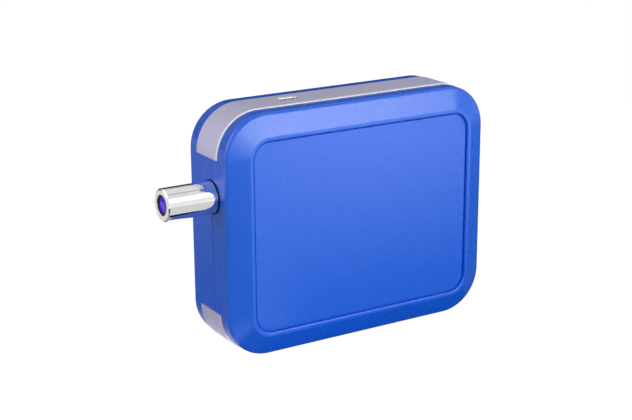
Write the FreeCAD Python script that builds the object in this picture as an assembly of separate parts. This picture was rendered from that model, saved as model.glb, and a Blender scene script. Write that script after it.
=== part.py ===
import FreeCAD, Part
import os
from math import atan2, cos, degrees, radians, sin, sqrt, tan

# Small Raman spectrometer, in millimetres.
# X runs right and Y runs back as seen from the front, Z runs up.
# The origin is the middle of the flat underside of the bottom trim, on which it stands.

# Housing
BODY_WIDTH = 115.0
BODY_HEIGHT = 93.0
BODY_DEPTH = 36.0
CORNER_RADIUS = 16.8
BEVEL_DEPTH = 4.0
BEVEL_INSET = 8.2
SHOULDER_ROUND = 2.0
SHOULDER_STEPS = 2
RIM_WIDTH = 1.65
RIM_EDGE = 0.35
PANEL_RECESS = 1.0
WALL = 2.5
FRONT_SHELL_DEPTH = 15.0
PARTING_CHAMFER = 0.3
TONGUE_THICKNESS = 1.0
TONGUE_HEIGHT = 1.5
TONGUE_END_GAP = 2.0
FIT_GAP = 0.1

# Trims let into the top and bottom walls
TRIM_WIDTH = 15.8
TRIM_THICKNESS = 1.4
TRIM_PROUD = 0.4
TRIM_EDGE = 0.4
TRIM_GAP = 0.15
TAPE_THICKNESS = 0.2
TAPE_MARGIN = 1.0

# Case screws, inserts and the posts that they join
POST_INSET = 16.0
POST_RADIUS = 3.5
SCREW_RADIUS = 1.22
SCREW_HOLE_RADIUS = 1.45
CASE_HEAD_RADIUS = 2.3
CASE_HEAD_HEIGHT = 1.8
CASE_HEAD_RECESS = 1.2
COUNTERBORE_RADIUS = 2.6
HEX_ACROSS_FLATS = 2.0
HEX_DEPTH = 1.1
INSERT_RADIUS = 2.1
INSERT_LENGTH = 5.0
INSERT_BORE = 1.25
SCREW_REACH = 4.5
SEAT_GAP = 0.02

# Sides of fasteners and posts, and chords of a hidden corner: few, which keeps the model light
HEX_SIDES = 6
POST_SIDES = 8
CASE_SCREW_SIDES = 12
HIDDEN_CHORDS = 2

# Probe tube and what sits in its nose
PROBE_RISE = 15.0
PROBE_RADIUS = 6.2
PROBE_REACH = 20.2
PROBE_LENGTH = 35.2
PROBE_CHAMFER = 0.45
PROBE_SHOULDER_GAP = 0.25
SHANK_STEP = 1.0
NOSE_WALL = 2.3
NOSE_RECESS = 0.15
RING_LENGTH = 0.35
RING_WALL = 0.55
LENS_THICKNESS = 2.0
LENS_CURVE = 26.0
SEAL_WEB = 0.45
SEAL_SETBACK = 0.15

# Optical bench
BENCH_STANDOFF = 2.0
BENCH_THICKNESS = 2.5
BENCH_MARGIN = 2.0
BENCH_PAD_RADIUS = 3.2
BENCH_SCREW_X = 28.0
BENCH_SCREW_INSET = 8.5
BENCH_POCKET_DEPTH = 1.0
BENCH_POCKET_EDGE = 4.0
BENCH_WEB = 3.0
BOSS_CLEARANCE = 0.3
SMALL_SCREW_RADIUS = 0.95
SMALL_HEAD_RADIUS = 1.9
SMALL_HEAD_HEIGHT = 1.2
SMALL_SCREW_BITE = 1.8
OPTICS_TOP = 4.5

# Clamp of the probe tube
CLAMP_END_GAP = 1.2
CLAMP_LENGTH = 7.0
CLAMP_HALF_WIDTH = 9.5
CLAMP_GAP = 0.5
CLAMP_CROWN = 1.3
CLAMP_SCREW_OFFSET = 7.4

# Filter block on the beam behind the tube
FILTER_BLOCK_GAP = 4.5
FILTER_BLOCK_LENGTH = 24.0
FILTER_BLOCK_HALF = 7.0
BEAM_HALF = 2.5
SPLITTER_DISTANCE = 8.0
CHAMBER_HALF = 4.6
SPLITTER_FLOOR = 1.5
SPLITTER_LENGTH = 10.0
SPLITTER_THICKNESS = 1.0
SPLITTER_TURN = 45.0
FILTER_HALF = 4.0
FILTER_THICKNESS = 2.0
FILTER_TO_LENS = 1.0
SLIT_LENS_HALF = 4.0
SLIT_LENS_THICKNESS = 2.5
SLIT_LENS_CURVE = 10.0
SLIT_LENS_EDGE = 0.6
LID_THICKNESS = 0.6

# Laser below the filter block
LASER_LENGTH = 26.0
LASER_DROP = 2.0
LASER_WALL = 1.7
LASER_LENS_THICKNESS = 2.0
DIODE_FLANGE_RADIUS = 2.8
DIODE_FLANGE_THICKNESS = 1.2
DIODE_CAP_RADIUS = 1.9
DIODE_CAP_LENGTH = 2.2
DIODE_SETBACK = 1.0
DIODE_PIN_WIDTH = 0.45
DIODE_PIN_LENGTH = 3.0
DIODE_PIN_CIRCLE = 1.3
DIODE_PIN_COUNT = 3
HEATSINK_WIDTH = 17.0
HEATSINK_LENGTH = 20.0
HEATSINK_DROP = 6.0
FIN_SLOT_COUNT = 5
FIN_SLOT = 1.6
FIN_SLOT_DEPTH = 2.6

# Spectrometer on the bench
SLIT_GAP = 8.0
MIRROR_SETBACK = 14.5
MIRROR_ROOM = 9.0
FOCUSER_ROOM = 12.5
GRATING_DISTANCE = 16.5
DETECTOR_DISTANCE = 4.0
DETECTOR_END_GAP = 1.8
SLIT_HOLDER_THICKNESS = 4.0
SLIT_HOLDER_HALF = 5.0
SLIT_PLATE_HALF = 4.0
SLIT_PLATE_THICKNESS = 0.3
SLIT_WINDOW = 2.5
SLIT_WIDTH = 0.3
SLIT_LENGTH = 3.0
MIRROR_WIDTH = 12.0
MIRROR_THICKNESS = 4.0
MIRROR_CURVE = 100.0
GRATING_WIDTH = 11.0
GRATING_THICKNESS = 3.0
STAND_PLATE = 2.5
STAND_FOOT = 2.0
STAND_TOE = 4.5
STAND_SCREW_INSET = 2.6
DETECTOR_LENGTH = 34.0
DETECTOR_HEIGHT = 9.0
DETECTOR_THICKNESS = 3.0
WINDOW_THICKNESS = 0.7
WINDOW_MARGIN = 1.0
DETECTOR_BOARD_LENGTH = 35.0
DETECTOR_BOARD_THICKNESS = 1.6

# Light-tight cover of the spectrometer
COVER_WALL = 0.8
COVER_SIDE_GAP = 5.5
COVER_BASE_GAP = 10.5
COVER_POST_GAP = 1.0
COVER_NOTCH = 6.0
COVER_ROOM = 0.3
COVER_MOUTH = 4.0
COVER_LUG_PLACES = (12.3, 28.3)
COVER_LUG_REACH = 4.4
COVER_LUG_HALF = 2.6
FLEX_ROOM = 1.5
FLEX_SLOT = 2.0

# Main board, seated on posts of the rear shell
BOARD_THICKNESS = 1.6
BOARD_GAP = 0.43
BOARD_LEFT_GAP = 18.0
BOARD_RIGHT_GAP = 7.5
BOARD_TOP_GAP = 1.5
BOARD_BOTTOM_GAP = 1.3
BOARD_CORNER = 3.0
BOARD_POST_RADIUS = 2.6
BOARD_SCREWS = ((-30.0, -1, 11.5), (25.0, -1, 7.0), (-34.0, 1, 9.0), (28.0, 1, 9.0))
CHIP_SIZES = ((14.0, 14.0, 1.4), (9.0, 9.0, 1.0), (7.0, 7.0, 3.0), (5.0, 4.0, 2.0))
CHIP_PLACES = ((26.0, 8.0), (26.0, -12.0), (4.0, 26.0), (-12.0, 24.0))
CAN_WIDTH = 26.0
CAN_HEIGHT = 20.0
CAN_DEPTH = 3.2
CAN_WALL = 0.3
CAN_X = -10.0
CAN_RISE = -4.0

# Flat cables and their board connectors
FLEX_THICKNESS = 0.2
FLEX_BEND = 1.5
CONNECTOR_LENGTH = 3.0
CONNECTOR_HEIGHT = 1.2
DETECTOR_FLEX_WIDTH = 8.0
LASER_FLEX_WIDTH = 4.0
FLEX_RUN = 3.5

# Port in the top trim
PORT_X = -22.7
PORT_WIDTH = 8.94
PORT_HEIGHT = 3.26
PORT_DEPTH = 7.35
PORT_WALL = 0.3
PORT_SETBACK = 0.15
PORT_CLEARANCE = 0.25
TONGUE_WIDTH = 6.69
TONGUE_DEPTH = 0.7
TONGUE_REACH = 4.45
TONGUE_SINK = 0.9
CONTACT_PITCH = 0.5
CONTACT_WIDTH = 0.25
CONTACT_LENGTH = 3.2
CONTACT_DEPTH = 0.05
CONTACTS_PER_SIDE = 12

# Directions, and how near two places lie to count as one
V = FreeCAD.Vector
FRONT = -1
BACK = 1
SAME_PLACE = 1e-3

# Places that follow from the sizes above
LEFT_WALL_X = -BODY_WIDTH / 2
MID_Z = TRIM_PROUD + BODY_HEIGHT / 2
PARTING_Y = FRONT_SHELL_DEPTH - BODY_DEPTH / 2
PANEL_INSET = BEVEL_INSET + RIM_WIDTH
TANGENT_RISE = BODY_HEIGHT / 2 - CORNER_RADIUS
POST_X = BODY_WIDTH / 2 - POST_INSET
POST_RISE = BODY_HEIGHT / 2 - POST_INSET
PROBE_Z = MID_Z + PROBE_RISE
PROBE_TIP_X = LEFT_WALL_X - PROBE_REACH
SHANK_RADIUS = PROBE_RADIUS - SHANK_STEP
CLAMP_START = PROBE_LENGTH - CLAMP_END_GAP - CLAMP_LENGTH
NOSE_BORE = PROBE_RADIUS - NOSE_WALL
RING_BORE = NOSE_BORE - RING_WALL
SEAL_RADIUS = PROBE_RADIUS + SEAL_WEB
BEAM_Y = PARTING_Y
OPTICS_TOP_Y = BEAM_Y + OPTICS_TOP
FRONT_INNER_Y = -BODY_DEPTH / 2 + PANEL_RECESS + WALL
BACK_INNER_Y = BODY_DEPTH / 2 - PANEL_RECESS - WALL
BENCH_Y = FRONT_INNER_Y + BENCH_STANDOFF
DECK_Y = BENCH_Y + BENCH_THICKNESS
LASER_BORE = DIODE_FLANGE_RADIUS + SEAT_GAP
LASER_HALF = LASER_BORE + LASER_WALL
FLEX_MOUTH = DETECTOR_FLEX_WIDTH / 2 + FLEX_ROOM
COVER_BACK_Y = OPTICS_TOP_Y + COVER_ROOM + COVER_WALL
BOARD_Y = COVER_BACK_Y + BOARD_GAP
BOARD_BACK_Y = BOARD_Y + BOARD_THICKNESS
PORT_Y = BOARD_Y - PORT_HEIGHT / 2
TOP_Z = MID_Z + BODY_HEIGHT / 2
PORT_MOUTH_Z = TOP_Z + TRIM_PROUD - PORT_SETBACK
FILTER_BLOCK_START = PROBE_TIP_X + PROBE_LENGTH + FILTER_BLOCK_GAP
FILTER_BLOCK_END = FILTER_BLOCK_START + FILTER_BLOCK_LENGTH
SPLITTER_X = FILTER_BLOCK_START + SPLITTER_DISTANCE
SLIT_X = FILTER_BLOCK_END + SLIT_GAP
COVER_RIGHT = BODY_WIDTH / 2 - COVER_SIDE_GAP
COVER_TOP = MID_Z + POST_RISE - POST_RADIUS - COVER_POST_GAP
COVER_BOTTOM = MID_Z - BODY_HEIGHT / 2 + COVER_BASE_GAP
COVER_NOTCH_X = POST_X - COVER_NOTCH
COVER_NOTCH_Z = MID_Z - POST_RISE + COVER_NOTCH
SLIT = (SLIT_X, PROBE_Z)
COLLIMATOR = (BODY_WIDTH / 2 - MIRROR_SETBACK, COVER_TOP - MIRROR_ROOM)
FOCUSER = (COLLIMATOR[0], COVER_NOTCH_Z + FOCUSER_ROOM)
GRATING = (SLIT_X + GRATING_DISTANCE, (COLLIMATOR[1] + FOCUSER[1]) / 2)
DETECTOR_HALF = max(DETECTOR_BOARD_LENGTH, DETECTOR_LENGTH) / 2
DETECTOR = (SLIT_X + DETECTOR_DISTANCE, COVER_BOTTOM + DETECTOR_HALF + DETECTOR_END_GAP)
DETECTOR_LEAN = atan2(FOCUSER[1] - DETECTOR[1], FOCUSER[0] - DETECTOR[0])
DETECTOR_DEPTH = DETECTOR_THICKNESS + DETECTOR_BOARD_THICKNESS + STAND_PLATE
DETECTOR_REACH = DETECTOR_DEPTH * cos(DETECTOR_LEAN) + DETECTOR_HALF * abs(sin(DETECTOR_LEAN))
COVER_LEFT = DETECTOR[0] - DETECTOR_REACH - COVER_ROOM - COVER_WALL


# General shapes

def box(x0, x1, y0, y1, z0, z1):
    return Part.makeBox(x1 - x0, y1 - y0, z1 - z0, V(x0, y0, z0))


def bar(radius, start, end):
    """Round bar from one point to another."""
    axis = end - start
    return Part.makeCylinder(radius, axis.Length, start, axis)


def turned(profile, start, axis):
    """Solid turned about an axis from (distance along it, radius) corners."""
    corners = [V(along, radius, 0) for along, radius in profile]
    face = Part.Face(Part.makePolygon(corners + corners[:1]))
    solid = face.revolve(V(0, 0, 0), V(1, 0, 0), 360)
    solid.Placement = FreeCAD.Placement(start, FreeCAD.Rotation(V(1, 0, 0), axis))
    return solid


def prism(corners, y0, y1):
    """Upright block over (x, z) corners, between two depths."""
    points = [V(x, y0, z) for x, z in corners]
    face = Part.Face(Part.makePolygon(points + points[:1]))
    return face.extrude(V(0, y1 - y0, 0))


def chord_rectangle(half_width, half_height, radius, centre):
    """Closed loop in the XZ plane with rounded corners of a few straight chords each."""
    points = []
    for turn, (side_x, side_z) in enumerate(((1, 1), (-1, 1), (-1, -1), (1, -1))):
        corner = centre + V(side_x * (half_width - radius), 0, side_z * (half_height - radius))
        for step in range(HIDDEN_CHORDS + 1):
            angle = radians(90 * turn + 90 * step / HIDDEN_CHORDS)
            points.append(corner + V(radius * cos(angle), 0, radius * sin(angle)))
    return Part.makePolygon(points + points[:1])


def rounded_rectangle(half_width, half_height, radius, centre):
    """Closed loop in the XZ plane with four arcs for corners."""
    edges = []
    previous_end = None
    first_start = None
    for turn, (side_x, side_z) in enumerate(((1, 1), (-1, 1), (-1, -1), (1, -1))):
        arc_centre = centre + V(side_x * (half_width - radius), 0, side_z * (half_height - radius))
        angles = [radians(90 * turn + step) for step in (0, 45, 90)]
        start, middle, end = [arc_centre + V(radius * cos(a), 0, radius * sin(a)) for a in angles]
        if previous_end:
            edges.append(Part.makeLine(previous_end, start))
        edges.append(Part.Arc(start, middle, end).toShape())
        previous_end = end
        first_start = first_start or start
    edges.append(Part.makeLine(previous_end, first_start))
    return Part.Wire(edges)


def body_loop(inset, y, outline=rounded_rectangle):
    """Outline of the housing at one depth, moved in by an inset."""
    half_width = BODY_WIDTH / 2 - inset
    half_height = BODY_HEIGHT / 2 - inset
    return outline(half_width, half_height, CORNER_RADIUS - inset, V(0, y, MID_Z))


def body_slab(inset, y0, y1, outline=rounded_rectangle):
    return Part.Face(body_loop(inset, y0, outline)).extrude(V(0, y1 - y0, 0))


def polygon(radius, x, z, sides):
    """Corners of a regular polygon round an (x, z) place."""
    turns = [radians(360 * step / sides) for step in range(sides)]
    return [(x + radius * cos(turn), z + radius * sin(turn)) for turn in turns]


def rod(radius, x, z, y0, y1, sides):
    """Many-sided bar along Y, for fasteners, posts and the holes that they pass."""
    low, high = sorted((y0, y1))
    return prism(polygon(radius, x, z, sides), low, high)


def screw(head_y, direction, x, z, radius, head_radius, head_height, length, sides):
    """Screw along Y whose head sits on head_y and whose shank runs the other way."""
    head = rod(head_radius, x, z, head_y, head_y - direction * head_height, sides)
    shank = rod(radius, x, z, head_y, head_y + direction * length, sides)
    return head.fuse(shank).removeSplitter()


def small_screw(head_y, x, z, depth):
    """Small screw driven towards the front; depth is what it passes before it bites."""
    length = depth + SMALL_SCREW_BITE
    return screw(head_y, FRONT, x, z, SMALL_SCREW_RADIUS, SMALL_HEAD_RADIUS,
                 SMALL_HEAD_HEIGHT, length, HEX_SIDES)


def small_hole(x, z, y0, y1):
    return rod(SMALL_SCREW_RADIUS + SEAT_GAP, x, z, y0, y1, HEX_SIDES)


def post_places():
    return [(x, MID_Z + rise) for x in (-POST_X, POST_X) for rise in (-POST_RISE, POST_RISE)]


def bench_screw_places():
    rise = BODY_HEIGHT / 2 - BENCH_SCREW_INSET
    rises = (-rise, rise)
    return [(x, MID_Z + rise) for x in (-BENCH_SCREW_X, BENCH_SCREW_X) for rise in rises]


def board_screw_places():
    half = BODY_HEIGHT / 2
    return [(x, MID_Z + level * (half - inset)) for x, level, inset in BOARD_SCREWS]


# Housing

def shoulder_round():
    """(inset, depth) places round the shoulder, from the side wall to the sloped border."""
    turn = atan2(BEVEL_INSET, BEVEL_DEPTH)
    centre_depth = BEVEL_DEPTH + SHOULDER_ROUND * tan(turn / 2)
    angles = [turn * step / SHOULDER_STEPS for step in range(SHOULDER_STEPS + 1)]
    return [(SHOULDER_ROUND * (1 - cos(a)), centre_depth - SHOULDER_ROUND * sin(a)) for a in angles]


def body_loft(side, stations, outline=rounded_rectangle):
    """Solid through the housing's outline at (inset, depth) stations, depth from one face."""
    y_face = side * BODY_DEPTH / 2
    loops = [body_loop(inset, y_face - side * depth, outline) for inset, depth in stations]
    return Part.makeLoft(loops, True, True)


def parting_depth(side):
    return abs(side * BODY_DEPTH / 2 - PARTING_Y)


def shell_outside(side):
    """Outer form of one shell: parting edge, wall, shoulder, sloped border, rim and panel."""
    parting = parting_depth(side)
    stations = [(PARTING_CHAMFER, parting), (0, parting - PARTING_CHAMFER)]
    stations += shoulder_round() + [(BEVEL_INSET, 0)]
    recess = [(PANEL_INSET, PANEL_RECESS), (PANEL_INSET, RIM_EDGE), (PANEL_INSET - RIM_EDGE, 0)]
    return body_loft(side, stations).cut(body_loft(side, recess))


def shell_cavity(side):
    """Inside of one shell, a wall's thickness under the outside."""
    lean = sqrt(1 + (BEVEL_DEPTH / BEVEL_INSET) ** 2)
    floor_depth = PANEL_RECESS + WALL
    floor_inset = BEVEL_INSET * (1 - (floor_depth - WALL * lean) / BEVEL_DEPTH)
    shoulder_depth = BEVEL_DEPTH * (1 - WALL / BEVEL_INSET) + WALL * lean
    stations = [(WALL, parting_depth(side)), (WALL, shoulder_depth), (floor_inset, floor_depth)]
    return body_loft(side, stations, chord_rectangle)


def trim_ring(outer_inset, inner_inset, half_width, margin, level):
    """Strip round the top (level 1) or bottom (level -1) of the body and both its corners."""
    ring = body_slab(outer_inset, -half_width, half_width)
    ring = ring.cut(body_slab(inner_inset, -half_width, half_width))
    reach = BODY_HEIGHT
    start = MID_Z + level * (TANGENT_RISE - margin)
    low, high = sorted((start, start + level * reach))
    keep = box(-BODY_WIDTH, BODY_WIDTH, -half_width, half_width, low, high)
    return ring.common(keep)


def trim_pockets():
    depth = TRIM_THICKNESS - TRIM_PROUD + TAPE_THICKNESS
    half = TRIM_WIDTH / 2 + TRIM_GAP
    pockets = [trim_ring(-TRIM_PROUD, depth, half, TRIM_GAP, level) for level in (-1, 1)]
    return pockets[0].fuse(pockets[1])


def tongues(grow):
    """Locating tongues along both side walls; the left one stops at the probe's clamp."""
    half = TANGENT_RISE - TONGUE_END_GAP + grow
    inner = BODY_WIDTH / 2 - WALL
    solids = []
    for side_x in (-1, 1):
        x0, x1 = sorted((side_x * (inner - grow), side_x * (inner + TONGUE_THICKNESS + grow)))
        y1 = PARTING_Y + TONGUE_HEIGHT + grow
        solids.append(box(x0, x1, PARTING_Y, y1, MID_Z - half, MID_Z + half))
    pair = solids[0].fuse(solids[1])
    gap = CLAMP_HALF_WIDTH + TONGUE_END_GAP - grow
    return pair.cut(bar(gap, V(LEFT_WALL_X, BEAM_Y, PROBE_Z), V(0, BEAM_Y, PROBE_Z)))


def probe_hole():
    outside = V(LEFT_WALL_X - WALL, BEAM_Y, PROBE_Z)
    inside = V(LEFT_WALL_X + WALL + TONGUE_THICKNESS, BEAM_Y, PROBE_Z)
    return bar(SEAL_RADIUS, outside, inside)


def stadium(width, height, z0, z1):
    """Upright bar with a slot-shaped section round the port's middle."""
    half_straight = (width - height) / 2
    middle = box(PORT_X - half_straight, PORT_X + half_straight,
                 PORT_Y - height / 2, PORT_Y + height / 2, z0, z1)
    for side in (-1, 1):
        x = PORT_X + side * half_straight
        middle = middle.fuse(bar(height / 2, V(x, PORT_Y, z0), V(x, PORT_Y, z1)))
    return middle.removeSplitter()


def port_hole():
    grow = 2 * PORT_CLEARANCE
    bottom = TOP_Z - WALL - PORT_CLEARANCE
    top = TOP_Z + TRIM_PROUD + PORT_CLEARANCE
    return stadium(PORT_WIDTH + grow, PORT_HEIGHT + grow, bottom, top)


def front_shell():
    shell = shell_outside(FRONT).cut(shell_cavity(FRONT)).fuse(tongues(0))
    for x, z in post_places():
        shell = shell.fuse(rod(POST_RADIUS, x, z, FRONT_INNER_Y, PARTING_Y, POST_SIDES))
    for x, z in bench_screw_places():
        shell = shell.fuse(rod(BENCH_PAD_RADIUS, x, z, FRONT_INNER_Y, BENCH_Y, HEX_SIDES))
    for x, z in post_places():
        end = PARTING_Y - INSERT_LENGTH
        shell = shell.cut(rod(INSERT_RADIUS + SEAT_GAP, x, z, PARTING_Y, end, HEX_SIDES))
    for x, z in bench_screw_places():
        shell = shell.cut(small_hole(x, z, BENCH_Y, BENCH_Y - SMALL_SCREW_BITE - FIT_GAP))
    return shell.cut(trim_pockets()).cut(probe_hole()).removeSplitter()


def case_seat_y():
    """Depth at which the heads of the case screws sit."""
    return BODY_DEPTH / 2 - PANEL_RECESS - CASE_HEAD_RECESS - CASE_HEAD_HEIGHT


def rear_shell():
    shell = shell_outside(BACK).cut(shell_cavity(BACK))
    for x, z in post_places():
        shell = shell.fuse(rod(POST_RADIUS, x, z, PARTING_Y, BACK_INNER_Y, POST_SIDES))
    for x, z in board_screw_places():
        shell = shell.fuse(rod(BOARD_POST_RADIUS, x, z, BOARD_BACK_Y, BACK_INNER_Y, HEX_SIDES))
    for x, z in post_places():
        y_seat = case_seat_y()
        shell = shell.cut(rod(COUNTERBORE_RADIUS, x, z, y_seat, BODY_DEPTH / 2, CASE_SCREW_SIDES))
        shell = shell.cut(rod(SCREW_HOLE_RADIUS, x, z, PARTING_Y, y_seat, HEX_SIDES))
    for x, z in board_screw_places():
        end = BOARD_BACK_Y + SMALL_SCREW_BITE + FIT_GAP
        shell = shell.cut(small_hole(x, z, BOARD_BACK_Y, end))
    shell = shell.cut(tongues(FIT_GAP)).cut(trim_pockets())
    return shell.cut(probe_hole()).cut(port_hole()).removeSplitter()


def trim(level):
    """Silver strip with a cut edge all round its outer face."""
    strip = trim_ring(-TRIM_PROUD, TRIM_THICKNESS - TRIM_PROUD, TRIM_WIDTH / 2, 0, level)
    outer = [edge for edge in strip.Edges if is_trim_outer_edge(edge)]
    return strip.makeChamfer(TRIM_EDGE, outer)


def top_trim():
    return trim(1).cut(port_hole())


def is_trim_outer_edge(edge):
    """Whether an edge's middle is on the trim's outer face and not across a smooth join."""
    middle = edge.valueAt((edge.FirstParameter + edge.LastParameter) / 2)
    loop = body_loop(-TRIM_PROUD, middle.y)
    on_outer_face = loop.distToShape(Part.Vertex(middle))[0] < SAME_PLACE
    return on_outer_face and not is_trim_seam(edge)


def is_trim_seam(edge):
    """Edges across the strip between its flat and curved stretches, which stay smooth."""
    across = abs(edge.BoundBox.YLength - TRIM_WIDTH) < SAME_PLACE
    rise = abs(edge.CenterOfMass.z - MID_Z)
    return across and rise > TANGENT_RISE + SAME_PLACE


def tape_strip(x0, x1, level):
    """Adhesive strip between the trim's flat stretch and the floor of its pocket."""
    under_trim = MID_Z + level * (BODY_HEIGHT / 2 + TRIM_PROUD - TRIM_THICKNESS)
    z0, z1 = sorted((under_trim, under_trim - level * TAPE_THICKNESS))
    half_depth = TRIM_WIDTH / 2 - TAPE_MARGIN
    return box(x0, x1, -half_depth, half_depth, z0, z1)


def tape_reach():
    return BODY_WIDTH / 2 - CORNER_RADIUS - TAPE_MARGIN


def top_trim_tape():
    """Two strips, left and right of the port."""
    gap = PORT_WIDTH / 2 + PORT_CLEARANCE + TAPE_MARGIN
    left = tape_strip(-tape_reach(), PORT_X - gap, 1)
    right = tape_strip(PORT_X + gap, tape_reach(), 1)
    return [left, right]


def bottom_trim_tape():
    return tape_strip(-tape_reach(), tape_reach(), -1)


def case_screws():
    """Socket-head screws, sunk into the rear panel."""
    y_seat = case_seat_y()
    length = y_seat - PARTING_Y + SCREW_REACH
    top = y_seat + CASE_HEAD_HEIGHT
    socket_radius = HEX_ACROSS_FLATS / 2 / cos(radians(180 / HEX_SIDES))
    solids = []
    for x, z in post_places():
        solid = screw(y_seat, FRONT, x, z, SCREW_RADIUS, CASE_HEAD_RADIUS, CASE_HEAD_HEIGHT,
                      length, CASE_SCREW_SIDES)
        solids.append(solid.cut(rod(socket_radius, x, z, top - HEX_DEPTH, top, HEX_SIDES)))
    return solids


def case_inserts():
    """Six-sided threaded inserts, set into the front shell's posts."""
    solids = []
    for x, z in post_places():
        end = PARTING_Y - INSERT_LENGTH
        insert = rod(INSERT_RADIUS, x, z, PARTING_Y, end, HEX_SIDES)
        solids.append(insert.cut(rod(INSERT_BORE, x, z, PARTING_Y, end, CASE_SCREW_SIDES)))
    return solids


# Probe

def probe_tube():
    """Polished tube with a shoulder just outside the wall and a thinner shank behind it."""
    shoulder = PROBE_REACH - PROBE_SHOULDER_GAP
    lens_back = NOSE_RECESS + RING_LENGTH + LENS_THICKNESS
    profile = [
        (0, NOSE_BORE),
        (0, PROBE_RADIUS - PROBE_CHAMFER),
        (PROBE_CHAMFER, PROBE_RADIUS),
        (shoulder, PROBE_RADIUS),
        (shoulder, SHANK_RADIUS),
        (PROBE_LENGTH, SHANK_RADIUS),
        (PROBE_LENGTH, RING_BORE),
        (lens_back, RING_BORE),
        (lens_back, NOSE_BORE),
    ]
    return turned(profile, V(PROBE_TIP_X, BEAM_Y, PROBE_Z), V(1, 0, 0))


def nose_ring():
    end = NOSE_RECESS + RING_LENGTH
    outer = NOSE_BORE - SEAT_GAP
    profile = [(NOSE_RECESS, RING_BORE), (NOSE_RECESS, outer), (end, outer), (end, RING_BORE)]
    return turned(profile, V(PROBE_TIP_X, BEAM_Y, PROBE_Z), V(1, 0, 0))


def nose_lens():
    """Flat disc behind the ring, with a dome that fills the ring's opening."""
    axis = V(1, 0, 0)
    rim = V(PROBE_TIP_X + NOSE_RECESS + RING_LENGTH, BEAM_Y, PROBE_Z)
    aperture = RING_BORE - SEAT_GAP
    sagitta = LENS_CURVE - sqrt(LENS_CURVE ** 2 - aperture ** 2)
    dome = Part.makeSphere(LENS_CURVE, rim + axis * (LENS_CURVE - sagitta))
    front = bar(aperture, rim - axis * 2 * sagitta, rim + axis * LENS_THICKNESS / 2)
    disc = bar(NOSE_BORE - SEAT_GAP, rim, rim + axis * LENS_THICKNESS)
    return disc.fuse(dome.common(front)).removeSplitter()


def probe_seal():
    """Rubber ring between the tube's shank and the wall."""
    inner = SHANK_RADIUS + SEAT_GAP
    outer = SEAL_RADIUS - SEAT_GAP
    profile = [(SEAL_SETBACK, inner), (SEAL_SETBACK, outer), (WALL, outer), (WALL, inner)]
    return turned(profile, V(LEFT_WALL_X, BEAM_Y, PROBE_Z), V(1, 0, 0))


def clamp_screw_places():
    x = PROBE_TIP_X + CLAMP_START + CLAMP_LENGTH / 2
    return [(x, PROBE_Z + side * CLAMP_SCREW_OFFSET) for side in (-1, 1)]


def clamp_bore():
    start = V(PROBE_TIP_X, BEAM_Y, PROBE_Z)
    end = V(FILTER_BLOCK_START, BEAM_Y, PROBE_Z)
    return bar(SHANK_RADIUS + SEAT_GAP, start, end)


def probe_saddle():
    x0 = PROBE_TIP_X + CLAMP_START
    z0 = PROBE_Z - CLAMP_HALF_WIDTH
    z1 = PROBE_Z + CLAMP_HALF_WIDTH
    saddle = box(x0, x0 + CLAMP_LENGTH, DECK_Y, BEAM_Y - CLAMP_GAP / 2, z0, z1)
    saddle = saddle.cut(clamp_bore())
    for x, z in clamp_screw_places():
        saddle = saddle.cut(small_hole(x, z, BEAM_Y - SMALL_SCREW_BITE - CLAMP_GAP, BEAM_Y))
    return saddle


def probe_cap():
    """Upper half of the clamp: a round crown with a flat ear on each side."""
    x0 = PROBE_TIP_X + CLAMP_START
    x1 = x0 + CLAMP_LENGTH
    y0 = BEAM_Y + CLAMP_GAP / 2
    ears = box(x0, x1, y0, y0 + STAND_FOOT, PROBE_Z - CLAMP_HALF_WIDTH, PROBE_Z + CLAMP_HALF_WIDTH)
    crown = bar(SHANK_RADIUS + CLAMP_CROWN, V(x0, BEAM_Y, PROBE_Z), V(x1, BEAM_Y, PROBE_Z))
    upper = box(x0, x1, y0, y0 + BODY_DEPTH, PROBE_Z - BODY_DEPTH, PROBE_Z + BODY_DEPTH)
    cap = ears.fuse(crown.common(upper)).cut(clamp_bore())
    for x, z in clamp_screw_places():
        cap = cap.cut(small_hole(x, z, y0, y0 + STAND_FOOT))
        clearance = SMALL_HEAD_RADIUS + FIT_GAP
        cap = cap.cut(rod(clearance, x, z, y0 + STAND_FOOT, y0 + BODY_DEPTH, HEX_SIDES))
    return cap.removeSplitter()


def clamp_screws():
    head_y = BEAM_Y + CLAMP_GAP / 2 + STAND_FOOT
    depth = STAND_FOOT + CLAMP_GAP
    return [small_screw(head_y, x, z, depth) for x, z in clamp_screw_places()]


# Optical bench

def optical_bench():
    """Plate that follows the housing, pierced by the posts and lightened by pockets."""
    inset = WALL + BENCH_MARGIN
    plate = body_slab(inset, BENCH_Y, DECK_Y, chord_rectangle)
    for x, z in post_places():
        plate = plate.cut(rod(POST_RADIUS + BOSS_CLEARANCE, x, z, BENCH_Y, DECK_Y, POST_SIDES))
    for x, z in bench_screw_places():
        plate = plate.cut(small_hole(x, z, BENCH_Y, DECK_Y))
    for places in (stand_screw_places(), lug_places(), heatsink_screw_places()):
        for x, z in places:
            plate = plate.cut(small_hole(x, z, DECK_Y - SMALL_SCREW_BITE - FIT_GAP, DECK_Y))
    half = BENCH_SCREW_X - BENCH_POCKET_EDGE
    pocket = box(-half, half, BENCH_Y, BENCH_Y + BENCH_POCKET_DEPTH,
                 MID_Z - TANGENT_RISE, MID_Z + TANGENT_RISE)
    web_half = BENCH_WEB / 2
    web = box(-web_half, web_half, BENCH_Y, DECK_Y, MID_Z - TANGENT_RISE, MID_Z + TANGENT_RISE)
    return plate.cut(pocket.cut(web))


def bench_screws():
    return [small_screw(DECK_Y, x, z, BENCH_THICKNESS) for x, z in bench_screw_places()]


def chamber_floor_y():
    return DECK_Y + SPLITTER_FLOOR


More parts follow.
